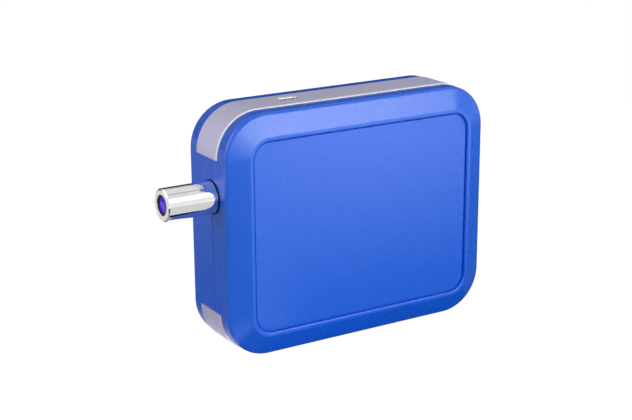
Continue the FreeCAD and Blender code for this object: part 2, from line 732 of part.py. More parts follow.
def filter_block():
    """Block with crossing beam channels, seats for the lens and filters, and an open chamber."""
    y_top = OPTICS_TOP_Y
    z0 = PROBE_Z - FILTER_BLOCK_HALF
    z1 = PROBE_Z + FILTER_BLOCK_HALF
    block = box(FILTER_BLOCK_START, FILTER_BLOCK_END, DECK_Y, y_top, z0, z1)
    half = BEAM_HALF
    y0 = BEAM_Y - half
    y1 = BEAM_Y + half
    along = box(FILTER_BLOCK_START, FILTER_BLOCK_END, y0, y1, PROBE_Z - half, PROBE_Z + half)
    across = box(SPLITTER_X - half, SPLITTER_X + half, y0, y1, z0, PROBE_Z)
    block = block.cut(along).cut(across)
    block = block.cut(slit_lens_block(SEAT_GAP, FILTER_BLOCK_END))
    x0 = SPLITTER_X - CHAMBER_HALF
    x1 = SPLITTER_X + CHAMBER_HALF
    chamber = box(x0, x1, chamber_floor_y(), y_top, PROBE_Z - CHAMBER_HALF, PROBE_Z + CHAMBER_HALF)
    return block.cut(chamber).cut(longpass_plate(SEAT_GAP, y_top)).cut(cleanup_plate(SEAT_GAP))


def block_lid():
    z0 = PROBE_Z - FILTER_BLOCK_HALF
    z1 = PROBE_Z + FILTER_BLOCK_HALF
    y1 = OPTICS_TOP_Y + LID_THICKNESS
    return box(FILTER_BLOCK_START, FILTER_BLOCK_END, OPTICS_TOP_Y, y1, z0, z1)


def dichroic_mirror():
    """Thin plate across the chamber that turns the laser light into the probe."""
    half = SPLITTER_LENGTH / 2
    half_thickness = SPLITTER_THICKNESS / 2
    y0 = chamber_floor_y()
    y1 = OPTICS_TOP_Y - FIT_GAP
    plate = box(-half_thickness, half_thickness, y0, y1, -half, half)
    plate.rotate(V(0, 0, 0), V(0, 1, 0), -SPLITTER_TURN)
    plate.translate(V(SPLITTER_X, 0, PROBE_Z))
    return plate


def longpass_plate(grow, y_top):
    """Filter across the beam in front of the slit lens, or the slot that it drops into."""
    x1 = slit_lens_rim_x() - FILTER_TO_LENS
    half = FILTER_HALF + grow
    x0 = x1 - FILTER_THICKNESS
    return box(x0 - grow, x1 + grow, BEAM_Y - half, y_top, PROBE_Z - half, PROBE_Z + half)


def cleanup_plate(grow):
    """Filter across the laser's beam, or its seat in the block's lower face."""
    z0 = PROBE_Z - FILTER_BLOCK_HALF
    half = FILTER_HALF + grow
    z1 = z0 + FILTER_THICKNESS + grow
    return box(SPLITTER_X - half, SPLITTER_X + half, BEAM_Y - half, BEAM_Y + half, z0, z1)


def slit_lens_rim_x():
    return FILTER_BLOCK_END - SLIT_LENS_EDGE - SLIT_LENS_THICKNESS


def slit_lens_block(grow, x1):
    """Square block from the lens's flat face to a given X, or the seat that takes it."""
    half = SLIT_LENS_HALF + grow
    return box(slit_lens_rim_x(), x1, BEAM_Y - half, BEAM_Y + half, PROBE_Z - half, PROBE_Z + half)


def slit_lens():
    """Square lens, flat where it seats and curved towards the slit."""
    x1 = slit_lens_rim_x() + SLIT_LENS_THICKNESS
    centre_x = x1 - SLIT_LENS_CURVE
    start = V(centre_x, BEAM_Y - SLIT_LENS_HALF, PROBE_Z)
    end = V(centre_x, BEAM_Y + SLIT_LENS_HALF, PROBE_Z)
    return slit_lens_block(0, x1).common(bar(SLIT_LENS_CURVE, start, end))


# Laser

def laser_top():
    return V(SPLITTER_X, BEAM_Y, PROBE_Z - FILTER_BLOCK_HALF - LASER_DROP)


def laser_housing():
    """Square sleeve with the diode in its lower end and the lens in its upper end."""
    top = laser_top()
    low = top.z - LASER_LENGTH
    half = LASER_HALF
    block = box(top.x - half, top.x + half, top.y - half, top.y + half, low, top.z)
    return block.cut(bar(LASER_BORE, V(top.x, top.y, low), top))


def laser_lens():
    end = laser_top() - V(0, 0, LASER_LENS_THICKNESS)
    return bar(LASER_BORE - SEAT_GAP, end, laser_top())


def laser_diode():
    """Can with a flange, a cap and pins on a circle."""
    up = V(0, 0, 1)
    base = laser_top() - up * (LASER_LENGTH - DIODE_SETBACK)
    shoulder = base + up * DIODE_FLANGE_THICKNESS
    can = bar(DIODE_FLANGE_RADIUS, base, shoulder)
    can = can.fuse(bar(DIODE_CAP_RADIUS, shoulder, shoulder + up * DIODE_CAP_LENGTH))
    half = DIODE_PIN_WIDTH / 2
    for step in range(DIODE_PIN_COUNT):
        turn = radians(360 / DIODE_PIN_COUNT * step)
        x = base.x + DIODE_PIN_CIRCLE * cos(turn)
        y = base.y + DIODE_PIN_CIRCLE * sin(turn)
        can = can.fuse(box(x - half, x + half, y - half, y + half, base.z - DIODE_PIN_LENGTH, base.z))
    return can.removeSplitter()


def heatsink_span():
    top = laser_top().z - HEATSINK_DROP
    return top - HEATSINK_LENGTH, top


def heatsink_screw_places():
    z0, z1 = heatsink_span()
    x = SPLITTER_X + HEATSINK_WIDTH / 2 + SMALL_HEAD_RADIUS
    inset = SMALL_HEAD_RADIUS + FIT_GAP
    return [(x, z0 + inset), (x, z1 - inset)]


def laser_heatsink():
    """Channel for the laser with slots between its fins and a screwed foot."""
    z0, z1 = heatsink_span()
    x0 = SPLITTER_X - HEATSINK_WIDTH / 2
    x1 = SPLITTER_X + HEATSINK_WIDTH / 2
    block = box(x0, x1, DECK_Y, OPTICS_TOP_Y, z0, z1)
    foot_end = x1 + 2 * SMALL_HEAD_RADIUS
    block = block.fuse(box(x1, foot_end, DECK_Y, DECK_Y + STAND_FOOT, z0, z1))
    half = LASER_HALF + SEAT_GAP
    channel = box(SPLITTER_X - half, SPLITTER_X + half, BEAM_Y - half, OPTICS_TOP_Y, z0, z1)
    block = block.cut(channel)
    pitch = (z1 - z0) / FIN_SLOT_COUNT
    for step in range(FIN_SLOT_COUNT):
        low = z0 + pitch / 2 + pitch * step - FIN_SLOT / 2
        slot = box(x0, x0 + FIN_SLOT_DEPTH, DECK_Y + STAND_FOOT, OPTICS_TOP_Y, low, low + FIN_SLOT)
        block = block.cut(slot)
    for x, z in heatsink_screw_places():
        block = block.cut(small_hole(x, z, DECK_Y, DECK_Y + STAND_FOOT))
    return block.removeSplitter()


# Spectrometer

def direction(start, end):
    """Angle in the XZ plane from one (x, z) place to another."""
    return atan2(end[1] - start[1], end[0] - start[0])


def facing(place, source, target):
    """Angle of a mirror's normal that sends light from the source to the target."""
    first = direction(place, source)
    second = direction(place, target)
    x = cos(first) + cos(second)
    z = sin(first) + sin(second)
    return atan2(z, x)


def set_at(shape, place, angle):
    """Turn a shape built facing +X at the origin and set it at an (x, z) place."""
    shape = shape.copy()
    shape.rotate(V(0, 0, 0), V(0, 1, 0), -degrees(angle))
    shape.translate(V(place[0], 0, place[1]))
    return shape


def optic_block(width, thickness, curve=0):
    """Optic whose front is at the origin, standing on its stand's foot, dished if curved."""
    half = width / 2
    block = box(-thickness, 0, DECK_Y + STAND_FOOT, OPTICS_TOP_Y, -half, half)
    if curve:
        dish = half ** 2 / (2 * curve)
        block = block.cut(Part.makeSphere(curve, V(curve - dish, BEAM_Y, 0)))
    return block


def stand(width, thickness):
    """L-shaped stand with a foot under the optic and a plate behind it."""
    half = width / 2
    back = -thickness - STAND_PLATE
    foot = box(back, STAND_TOE, DECK_Y, DECK_Y + STAND_FOOT, -half, half)
    plate = box(back, -thickness, DECK_Y, OPTICS_TOP_Y, -half, half)
    return foot.fuse(plate).removeSplitter()


def optics():
    """Place, facing angle, width and thickness of each optic that has a stand."""
    mirror = (MIRROR_WIDTH, MIRROR_THICKNESS)
    grating = (GRATING_WIDTH, GRATING_THICKNESS)
    detector = (DETECTOR_BOARD_LENGTH, DETECTOR_THICKNESS + DETECTOR_BOARD_THICKNESS)
    return {
        "collimating": (COLLIMATOR, facing(COLLIMATOR, SLIT, GRATING), *mirror),
        "focusing": (FOCUSER, facing(FOCUSER, GRATING, DETECTOR), *mirror),
        "grating": (GRATING, facing(GRATING, COLLIMATOR, FOCUSER), *grating),
        "detector": (DETECTOR, DETECTOR_LEAN, *detector),
    }


def toe_screw_places(place, angle, width, thickness):
    """Places of the two screws in the foot of one stand."""
    along = STAND_TOE - STAND_SCREW_INSET
    places = []
    for side in (-1, 1):
        across = side * (width / 2 - STAND_SCREW_INSET)
        x = place[0] + along * cos(angle) - across * sin(angle)
        z = place[1] + along * sin(angle) + across * cos(angle)
        places.append((x, z))
    return places


def stand_screw_places():
    return [found for optic in optics().values() for found in toe_screw_places(*optic)]


def stand_screws():
    deck_top = DECK_Y + STAND_FOOT
    solids = [small_screw(deck_top, x, z, STAND_FOOT) for x, z in stand_screw_places()]
    solids += [small_screw(deck_top, x, z, STAND_FOOT) for x, z in heatsink_screw_places()]
    return solids


def placed_stand(name):
    place, angle, width, thickness = optics()[name]
    solid = set_at(stand(width, thickness), place, angle)
    for x, z in toe_screw_places(*optics()[name]):
        solid = solid.cut(small_hole(x, z, DECK_Y, DECK_Y + STAND_FOOT))
    return solid


def detector_stand():
    """The detector's stand, with a window in its plate for the board's connector."""
    place, angle, width, thickness = optics()["detector"]
    high = CONNECTOR_LENGTH / 2 + FIT_GAP
    wide = FLEX_MOUTH
    back = -thickness - STAND_PLATE
    window = box(back, -thickness, BEAM_Y - high, BEAM_Y + high, -wide, wide)
    return placed_stand("detector").cut(set_detector(window))


def placed_optic(name, curve=0):
    place, angle, width, thickness = optics()[name]
    return set_at(optic_block(width, thickness, curve), place, angle)


def set_detector(shape):
    place, angle, width, thickness = optics()["detector"]
    return set_at(shape, place, angle)


def window_block():
    """Window let into the sensor's face, before the sensor is set in place."""
    half = DETECTOR_LENGTH / 2 - WINDOW_MARGIN
    rise = DETECTOR_HEIGHT / 2 - WINDOW_MARGIN
    return box(-WINDOW_THICKNESS, 0, BEAM_Y - rise, BEAM_Y + rise, -half, half)


def detector_package():
    """Sensor body with a recess for its window."""
    half = DETECTOR_LENGTH / 2
    rise = DETECTOR_HEIGHT / 2
    package = box(-DETECTOR_THICKNESS, 0, BEAM_Y - rise, BEAM_Y + rise, -half, half)
    return set_detector(package.cut(window_block()))


def detector_board():
    half = DETECTOR_BOARD_LENGTH / 2
    back = -DETECTOR_THICKNESS - DETECTOR_BOARD_THICKNESS
    y0 = DECK_Y + STAND_FOOT
    return set_detector(box(back, -DETECTOR_THICKNESS, y0, OPTICS_TOP_Y, -half, half))


def slit_holder():
    """Upright plate with a window for the light and a recess that seats the slit plate."""
    x1 = SLIT_X + SLIT_HOLDER_THICKNESS / 2
    x0 = x1 - SLIT_HOLDER_THICKNESS
    z0 = PROBE_Z - SLIT_HOLDER_HALF
    block = box(x0, x1, DECK_Y, OPTICS_TOP_Y, z0, PROBE_Z + SLIT_HOLDER_HALF)
    block = block.cut(slit_opening(x0, x1, SLIT_WINDOW, SLIT_WINDOW))
    seat = SLIT_PLATE_HALF + SEAT_GAP
    return block.cut(slit_opening(x0, x0 + SLIT_PLATE_THICKNESS, seat, seat))


def slit_opening(x0, x1, half_depth, half_height):
    """Box along the beam at the slit."""
    z0 = PROBE_Z - half_height
    return box(x0, x1, BEAM_Y - half_depth, BEAM_Y + half_depth, z0, PROBE_Z + half_height)


def slit_plate():
    x0 = SLIT_X - SLIT_HOLDER_THICKNESS / 2
    x1 = x0 + SLIT_PLATE_THICKNESS
    plate = slit_opening(x0, x1, SLIT_PLATE_HALF, SLIT_PLATE_HALF)
    return plate.cut(slit_opening(x0, x1, SLIT_LENGTH / 2, SLIT_WIDTH / 2))


# Cover of the spectrometer

def cover_outline(inset):
    """Corners of the cover: a rectangle with one corner notched round a case post."""
    left = COVER_LEFT + inset
    right = COVER_RIGHT - inset
    top = COVER_TOP - inset
    bottom = COVER_BOTTOM + inset
    notch_x = COVER_NOTCH_X - inset
    notch_z = COVER_NOTCH_Z + inset
    return [(left, bottom), (notch_x, bottom), (notch_x, notch_z), (right, notch_z),
            (right, top), (left, top)]


def lug_places():
    reach = COVER_LUG_REACH / 2
    levels = (COVER_BOTTOM - reach, COVER_TOP + reach)
    return [(COVER_LEFT + along, z) for along in COVER_LUG_PLACES for z in levels]


def bench_cover():
    """Thin cover with screwed lugs, a mouth for the slit and a slot for the flat cable."""
    cover = prism(cover_outline(0), DECK_Y, COVER_BACK_Y)
    cover = cover.cut(prism(cover_outline(COVER_WALL), DECK_Y, COVER_BACK_Y - COVER_WALL))
    for x, z in lug_places():
        reach = COVER_LUG_REACH / 2
        half = COVER_LUG_HALF
        lug = box(x - half, x + half, DECK_Y, DECK_Y + COVER_WALL, z - reach, z + reach)
        cover = cover.fuse(lug).cut(small_hole(x, z, DECK_Y, DECK_Y + COVER_WALL))
    x0 = COVER_LEFT
    x1 = COVER_LEFT + COVER_WALL
    cover = cover.cut(slit_opening(x0, x1, COVER_MOUTH, COVER_MOUTH))
    plug_z = detector_plug()[1]
    slot_half = FLEX_SLOT / 2
    slot = box(x0, x1, BEAM_Y - slot_half, BEAM_Y + slot_half, plug_z - FLEX_MOUTH, plug_z + FLEX_MOUTH)
    return cover.cut(slot).removeSplitter()


def cover_screws():
    head_y = DECK_Y + COVER_WALL
    return [small_screw(head_y, x, z, COVER_WALL) for x, z in lug_places()]


# Electronics

def main_board():
    inner_top = TOP_Z - WALL - BOARD_TOP_GAP
    inner_bottom = TRIM_PROUD + WALL + BOARD_BOTTOM_GAP
    left = -BODY_WIDTH / 2 + BOARD_LEFT_GAP
    right = BODY_WIDTH / 2 - BOARD_RIGHT_GAP
    centre = V((left + right) / 2, BOARD_Y, (inner_top + inner_bottom) / 2)
    half_width = (right - left) / 2
    half_height = (inner_top - inner_bottom) / 2
    loop = chord_rectangle(half_width, half_height, BOARD_CORNER, centre)
    board = Part.Face(loop).extrude(V(0, BOARD_THICKNESS, 0))
    inside = body_slab(WALL + BOARD_TOP_GAP, BOARD_Y, BOARD_BACK_Y, chord_rectangle)
    board = board.common(inside)
    for x, z in post_places():
        hole = rod(POST_RADIUS + BOSS_CLEARANCE, x, z, BOARD_Y, BOARD_BACK_Y, POST_SIDES)
        board = board.cut(hole)
    for x, z in board_screw_places():
        board = board.cut(small_hole(x, z, BOARD_Y, BOARD_BACK_Y))
    return board


def board_screws():
    return [screw(BOARD_Y, BACK, x, z, SMALL_SCREW_RADIUS, SMALL_HEAD_RADIUS, SMALL_HEAD_HEIGHT,
                  BOARD_THICKNESS + SMALL_SCREW_BITE, HEX_SIDES) for x, z in board_screw_places()]


def board_chips():
    solids = []
    for (width, height, depth), (x, rise) in zip(CHIP_SIZES, CHIP_PLACES):
        z = MID_Z + rise
        solids.append(box(x - width / 2, x + width / 2, BOARD_BACK_Y, BOARD_BACK_Y + depth,
                          z - height / 2, z + height / 2))
    return solids


def shield_can():
    x0 = CAN_X - CAN_WIDTH / 2
    x1 = CAN_X + CAN_WIDTH / 2
    z0 = MID_Z + CAN_RISE - CAN_HEIGHT / 2
    z1 = z0 + CAN_HEIGHT
    y1 = BOARD_BACK_Y + CAN_DEPTH
    can = box(x0, x1, BOARD_BACK_Y, y1, z0, z1)
    t = CAN_WALL
    return can.cut(box(x0 + t, x1 - t, BOARD_BACK_Y, y1 - t, z0 + t, z1 - t))


def detector_flex_line():
    """Depth and X of the detector's flat cable where it turns towards the main board."""
    return BEAM_Y, COVER_LEFT - FLEX_RUN


def detector_plug():
    """Place of the back of the connector behind the detector's board."""
    angle = DETECTOR_LEAN
    depth = DETECTOR_THICKNESS + DETECTOR_BOARD_THICKNESS + CONNECTOR_HEIGHT
    return DETECTOR[0] - depth * cos(angle), DETECTOR[1] - depth * sin(angle)


def detector_flex():
    """Flat cable straight back from the detector's board, then round a bend to the main board."""
    y, x_turn = detector_flex_line()
    plug_x, plug_z = detector_plug()
    z0 = plug_z - DETECTOR_FLEX_WIDTH / 2
    z1 = z0 + DETECTOR_FLEX_WIDTH
    slope = abs(sin(DETECTOR_LEAN))
    x_start = plug_x - slope * DETECTOR_FLEX_WIDTH / 2
    outer = FLEX_BEND + FLEX_THICKNESS
    centre_x = x_turn + outer
    centre_y = y + outer
    run = box(centre_x, x_start, y, y + FLEX_THICKNESS, z0, z1)
    rise = box(x_turn, x_turn + FLEX_THICKNESS, centre_y, BOARD_Y - CONNECTOR_HEIGHT, z0, z1)
    centre = V(centre_x, centre_y, z0)
    top = V(centre_x, centre_y, z1)
    bend = bar(outer, centre, top).cut(bar(FLEX_BEND, centre, top))
    bend = bend.common(box(x_turn, centre_x, y, centre_y, z0, z1))
    return run.fuse(bend).fuse(rise).removeSplitter()


def diode_pin_end():
    return laser_top().z - LASER_LENGTH + DIODE_SETBACK - DIODE_PIN_LENGTH


def laser_flex():
    """Flat cable across the diode's pins, straight to the main board."""
    half = LASER_FLEX_WIDTH / 2
    y0 = BEAM_Y - half
    y1 = BOARD_Y - CONNECTOR_HEIGHT
    z1 = diode_pin_end()
    return box(SPLITTER_X - half, SPLITTER_X + half, y0, y1, z1 - FLEX_THICKNESS, z1)


def flex_connectors():
    """Sockets of the flat cables: two on the main board and one on the detector's board."""
    y0 = BOARD_Y - CONNECTOR_HEIGHT
    half = CONNECTOR_LENGTH / 2
    laser_z = diode_pin_end() - FLEX_THICKNESS / 2
    x0 = SPLITTER_X - LASER_FLEX_WIDTH / 2
    laser = box(x0, x0 + LASER_FLEX_WIDTH, y0, BOARD_Y, laser_z - half, laser_z + half)
    turn_x = detector_flex_line()[1] + FLEX_THICKNESS / 2
    flex_half = DETECTOR_FLEX_WIDTH / 2
    plug_z = detector_plug()[1]
    main = box(turn_x - half, turn_x + half, y0, BOARD_Y, plug_z - flex_half, plug_z + flex_half)
    board_back = -DETECTOR_THICKNESS - DETECTOR_BOARD_THICKNESS
    socket = box(board_back - CONNECTOR_HEIGHT, board_back, BEAM_Y - half, BEAM_Y + half,
                 -flex_half, flex_half)
    return [laser, main, set_detector(socket)]


# Port

def usb_shell():
    """Slot-shaped metal sleeve, open upwards and closed at its foot."""
    z0 = PORT_MOUTH_Z - PORT_DEPTH
    outside = stadium(PORT_WIDTH, PORT_HEIGHT, z0, PORT_MOUTH_Z)
    wall = 2 * PORT_WALL
    return outside.cut(stadium(PORT_WIDTH - wall, PORT_HEIGHT - wall, z0 + PORT_WALL, PORT_MOUTH_Z))


def tongue_foot_top():
    return PORT_MOUTH_Z - TONGUE_SINK - TONGUE_REACH


def usb_tongue():
    """Insulator: a foot in the sleeve's flat part and a thin tongue in its middle."""
    z0 = PORT_MOUTH_Z - PORT_DEPTH + PORT_WALL
    z1 = tongue_foot_top()
    foot_half = (PORT_WIDTH - PORT_HEIGHT) / 2
    foot_depth = PORT_HEIGHT / 2 - PORT_WALL - SEAT_GAP
    foot = box(PORT_X - foot_half, PORT_X + foot_half, PORT_Y - foot_depth, PORT_Y + foot_depth, z0, z1)
    half = TONGUE_WIDTH / 2
    y0 = PORT_Y - TONGUE_DEPTH / 2
    tongue = box(PORT_X - half, PORT_X + half, y0, y0 + TONGUE_DEPTH, z1, z1 + TONGUE_REACH)
    return foot.fuse(tongue).removeSplitter()


def usb_contacts():
    """Row of contacts on each face of the tongue."""
    solids = []
    z1 = tongue_foot_top() + TONGUE_REACH - CONTACT_WIDTH
    first = PORT_X - CONTACT_PITCH * (CONTACTS_PER_SIDE - 1) / 2
    for side in (-1, 1):
        face = PORT_Y + side * TONGUE_DEPTH / 2
        y0, y1 = sorted((face, face + side * CONTACT_DEPTH))
        for step in range(CONTACTS_PER_SIDE):
            x = first + step * CONTACT_PITCH
            half = CONTACT_WIDTH / 2
            solids.append(box(x - half, x + half, y0, y1, z1 - CONTACT_LENGTH, z1))
    return solids


nodes = {
    "front_shell": front_shell(),
    "rear_shell": rear_shell(),
    "top_trim": top_trim(),
    "bottom_trim": trim(-1),
    "top_trim_tape": top_trim_tape(),
    "bottom_trim_tape": bottom_trim_tape(),
    "case_screws": case_screws(),
    "case_inserts": case_inserts(),
    "probe_tube": probe_tube(),
    "nose_ring": nose_ring(),
    "nose_lens": nose_lens(),
    "probe_seal": probe_seal(),
    "probe_saddle": probe_saddle(),
    "probe_cap": probe_cap(),
    "clamp_screws": clamp_screws(),
    "optical_bench": optical_bench(),
    "bench_screws": bench_screws(),
    "filter_block": filter_block(),
    "block_lid": block_lid(),
    "dichroic_mirror": dichroic_mirror(),
    "cleanup_filter": cleanup_plate(0),
    "longpass_filter": longpass_plate(0, BEAM_Y + FILTER_HALF),
    "slit_lens": slit_lens(),
    "laser_housing": laser_housing(),
    "laser_lens": laser_lens(),
    "laser_diode": laser_diode(),
    "laser_heatsink": laser_heatsink(),
    "slit_holder": slit_holder(),
    "slit_plate": slit_plate(),
    "collimating_mirror": placed_optic("collimating", MIRROR_CURVE),
    "collimating_stand": placed_stand("collimating"),
    "diffraction_grating": placed_optic("grating"),
    "grating_stand": placed_stand("grating"),
    "focusing_mirror": placed_optic("focusing", MIRROR_CURVE),
    "focusing_stand": placed_stand("focusing"),
    "detector_package": detector_package(),
    "detector_window": set_detector(window_block()),
    "detector_board": detector_board(),
    "detector_stand": detector_stand(),
    "stand_screws": stand_screws(),
    "bench_cover": bench_cover(),
    "cover_screws": cover_screws(),
    "main_board": main_board(),
    "board_chips": board_chips(),
    "shield_can": shield_can(),
    "board_screws": board_screws(),
    "flex_connectors": flex_connectors(),
    "detector_flex": detector_flex(),
    "laser_flex": laser_flex(),
    "usb_shell": usb_shell(),
    "usb_tongue": usb_tongue(),
    "usb_contacts": usb_contacts(),
}

os.makedirs("parts", exist_ok=True)
for name, shape in nodes.items():
    if isinstance(shape, list):
        shape = Part.makeCompound(shape)
    shape.exportStep("parts/" + name + ".step")
    print(name, len(shape.Solids), shape.isValid(), round(shape.Volume, 1))
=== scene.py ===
import math

import bmesh
import bpy
from mathutils import Matrix, Vector


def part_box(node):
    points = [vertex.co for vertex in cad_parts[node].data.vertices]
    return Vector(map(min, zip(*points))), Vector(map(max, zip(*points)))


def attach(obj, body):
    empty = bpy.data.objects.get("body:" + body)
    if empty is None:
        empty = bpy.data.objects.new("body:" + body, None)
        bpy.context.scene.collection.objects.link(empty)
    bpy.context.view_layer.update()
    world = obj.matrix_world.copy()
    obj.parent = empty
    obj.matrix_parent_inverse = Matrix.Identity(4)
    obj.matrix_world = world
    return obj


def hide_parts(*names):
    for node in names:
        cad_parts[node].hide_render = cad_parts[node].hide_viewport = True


# Small Raman spectrometer. Metres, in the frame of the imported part: X right, Y back, Z up.
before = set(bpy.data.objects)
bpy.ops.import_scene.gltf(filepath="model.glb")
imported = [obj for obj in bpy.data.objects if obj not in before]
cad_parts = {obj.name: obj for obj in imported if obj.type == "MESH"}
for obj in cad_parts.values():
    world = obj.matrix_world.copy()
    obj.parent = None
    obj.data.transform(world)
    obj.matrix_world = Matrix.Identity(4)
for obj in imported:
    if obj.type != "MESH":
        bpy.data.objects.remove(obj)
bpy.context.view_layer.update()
MM = 0.001
BODY = "root"

# Places read from the frame
REAR_LOW, REAR_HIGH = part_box("rear_shell")
TUBE_LOW, TUBE_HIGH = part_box("probe_tube")
RING_LOW, RING_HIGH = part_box("nose_ring")
LENS_LOW, LENS_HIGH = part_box("nose_lens")
SEAL_LOW, SEAL_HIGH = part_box("probe_seal")
PORT_LOW, PORT_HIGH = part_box("usb_shell")
TRIM_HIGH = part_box("top_trim")[1]
SCREWS_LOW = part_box("case_screws")[0]
HALF_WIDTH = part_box("front_shell")[1].x
HALF_HEIGHT = (REAR_HIGH.z - REAR_LOW.z) / 2
HALF_DEPTH = REAR_HIGH.y
MID_Z = (REAR_HIGH.z + REAR_LOW.z) / 2
CENTRE = Vector((0, 0, MID_Z))
PARTING_Y = REAR_LOW.y
TUBE_Y = (TUBE_LOW.y + TUBE_HIGH.y) / 2
TUBE_Z = (TUBE_LOW.z + TUBE_HIGH.z) / 2
TUBE_RADIUS = (TUBE_HIGH.z - TUBE_LOW.z) / 2
TRIM_PROUD = TRIM_HIGH.z - REAR_HIGH.z
TRIM_HALF = TRIM_HIGH.y

# Housing
CORNER_RADIUS = 16.8 * MM
BEVEL_DEPTH = 4.0 * MM
BEVEL_INSET = 8.2 * MM
SHOULDER_ROUND = 2.0 * MM
RIM_WIDTH = 1.65 * MM
RIM_ROUND = 0.7 * MM
RIM_EDGE = 0.7 * MM
PANEL_RECESS = 1.0 * MM
GROOVE_WIDTH = 0.45 * MM
GROOVE_DEPTH = 0.6 * MM
GROOVE_EDGE = 0.12 * MM
PANEL_MARGIN = 2.0 * MM
WALL = 2.5 * MM
PARTING_CHAMFER = 0.3 * MM
PARTING_EDGE = 0.12 * MM
HOLE_REACH = 6.0 * MM

# Trims. A face is a cut edge where its normal leans along Y by a share between the two last values.
TRIM_THICKNESS = 1.4 * MM
TRIM_GAP = 0.15 * MM
TRIM_EDGE = 0.4 * MM
TRIM_SOFTENING = 0.07 * MM
TAPE_THICKNESS = 0.2 * MM
POCKET_TOP = 1.0 * MM
EDGE_LEAN_LOW = 0.3
EDGE_LEAN_HIGH = 0.95

# Probe
SHANK_STEP = 1.0 * MM
SHOULDER_GAP = 0.55 * MM
PROBE_CHAMFER = 0.45 * MM
PROBE_SOFTENING = 0.12 * MM
BORE_SOFTENING = 0.08 * MM
LENS_LEDGE = 0.55 * MM
PROBE_CLEARANCE = 0.02 * MM
RING_WIDTH = 0.75 * MM
RING_SOFTENING = 0.05 * MM
SEAL_SOFTENING = 0.12 * MM

# Port
PORT_CLEARANCE = 0.4 * MM
PORT_WALL = 0.52 * MM
PORT_LIP = 0.24 * MM

# Case screws
POST_INSET = 16.0 * MM
COUNTERBORE_RADIUS = 2.6 * MM
CASE_HEAD_RADIUS = 2.3 * MM
CASE_HEAD_HEIGHT = 1.8 * MM
CASE_HEAD_SINK = 1.2 * MM
CASE_HEAD_EDGE = 0.25 * MM
HEAD_SEAT_Y = HALF_DEPTH - PANEL_RECESS - CASE_HEAD_SINK - CASE_HEAD_HEIGHT
HEX_ACROSS_FLATS = 2.0 * MM
HEX_DEPTH = 1.1 * MM
SCREW_RADIUS = 1.22 * MM
KNURL_COUNT = 48
KNURL_DEPTH = 0.05 * MM
KNURL_TOLERANCE = 0.02 * MM

# Fineness of the meshes
ARC_STEPS = 28
FILLET_STEPS = 5
TRIM_FILLET_STEPS = 3
TURN_STEPS = 128
HOLE_STEPS = 64
HEX_SIDES = 6
PORT_END_STEPS = 16
DOME_STEPS = 12
NEARLY_ZERO = 0.001 * MM
SMOOTH_LIMIT = math.radians(35)
NORMAL_WEIGHT = 80

# Grain of the materials. The range holds the values of the noise from which it counts as 0 and 1.
GRAIN_DETAIL = 3.0
GRAIN_RANGE = (0.3, 0.7)
GRAIN_HEIGHT = 0.1 * MM
ROUGHNESS_SPREAD = 0.1

# Floor and surroundings. The last five values are brightness and its shares for kinds of rays.
WHITE = (1, 1, 1, 1)
FLOOR_REACH = 3.0
FLOOR_COLOUR = (0.8, 0.8, 0.8, 1)
FLOOR_ROUGHNESS = 0.9
FLOOR_GLOW = 1.22
FLOOR_SHARE = 0.80
FLOOR_GLOSSY = 0.6
WORLD_DIFFUSE = 0.16
WORLD_GLOSSY = 0.75

# Upright soft lights in one plane in front of the object: left, right, low, high and brightness
LIGHT_TURN = math.radians(30)
LIGHT_AXIS = Vector((math.sin(LIGHT_TURN), -math.cos(LIGHT_TURN), 0))
LIGHT_ACROSS = Vector((math.cos(LIGHT_TURN), math.sin(LIGHT_TURN), 0))
LIGHT_DISTANCE = 0.35
FRONT_LIGHTS = {
    "key": (-0.40, 0.10, 0.21, 0.40, 4.9),
    "key_middle": (-0.03, 0.08, 0.25, 0.35, 2.4),
    "table_light": (-0.08, 0.06, 0.002, 0.05, 3.5),
    "left_light": (-0.40, -0.27, 0.03, 0.20, 5.0),
}

# Weak light from the left
FILL_PLACE = (-0.68, 0.25, 0.43)
FILL_SIZE = 0.6
FILL_STRENGTH = 2.1
FILL_TINT = (1.0, 0.90, 1.0)

# Upright cards behind the object: low, high and brightness
BACK_MIDDLE = Vector((0.42, 0.70, 0))
BACK_ACROSS = Vector((0.857, -0.514, 0))
BACK_LEFT = 1.98
BACK_RIGHT = 0.9
BACK_CARDS = {
    "back_dark": (0.0, 0.52, 0.03),
    "back_grey": (0.52, 0.80, 0.40),
}

# Strip above the object, with its near and far edge as (y, z)
OVERHEAD_LEFT = -0.2
OVERHEAD_RIGHT = 0.8
OVERHEAD_NEAR = (-0.165, 0.74)
OVERHEAD_FAR = (-0.065, 0.757)
OVERHEAD_LEVEL = 0.45

# Upright card just behind the plane of the lights
HORIZON_SETBACK = 0.01
HORIZON_LEFT = -0.16
HORIZON_RIGHT = -0.02
HORIZON_HIGH = 0.21
HORIZON_LEVEL = 0.85

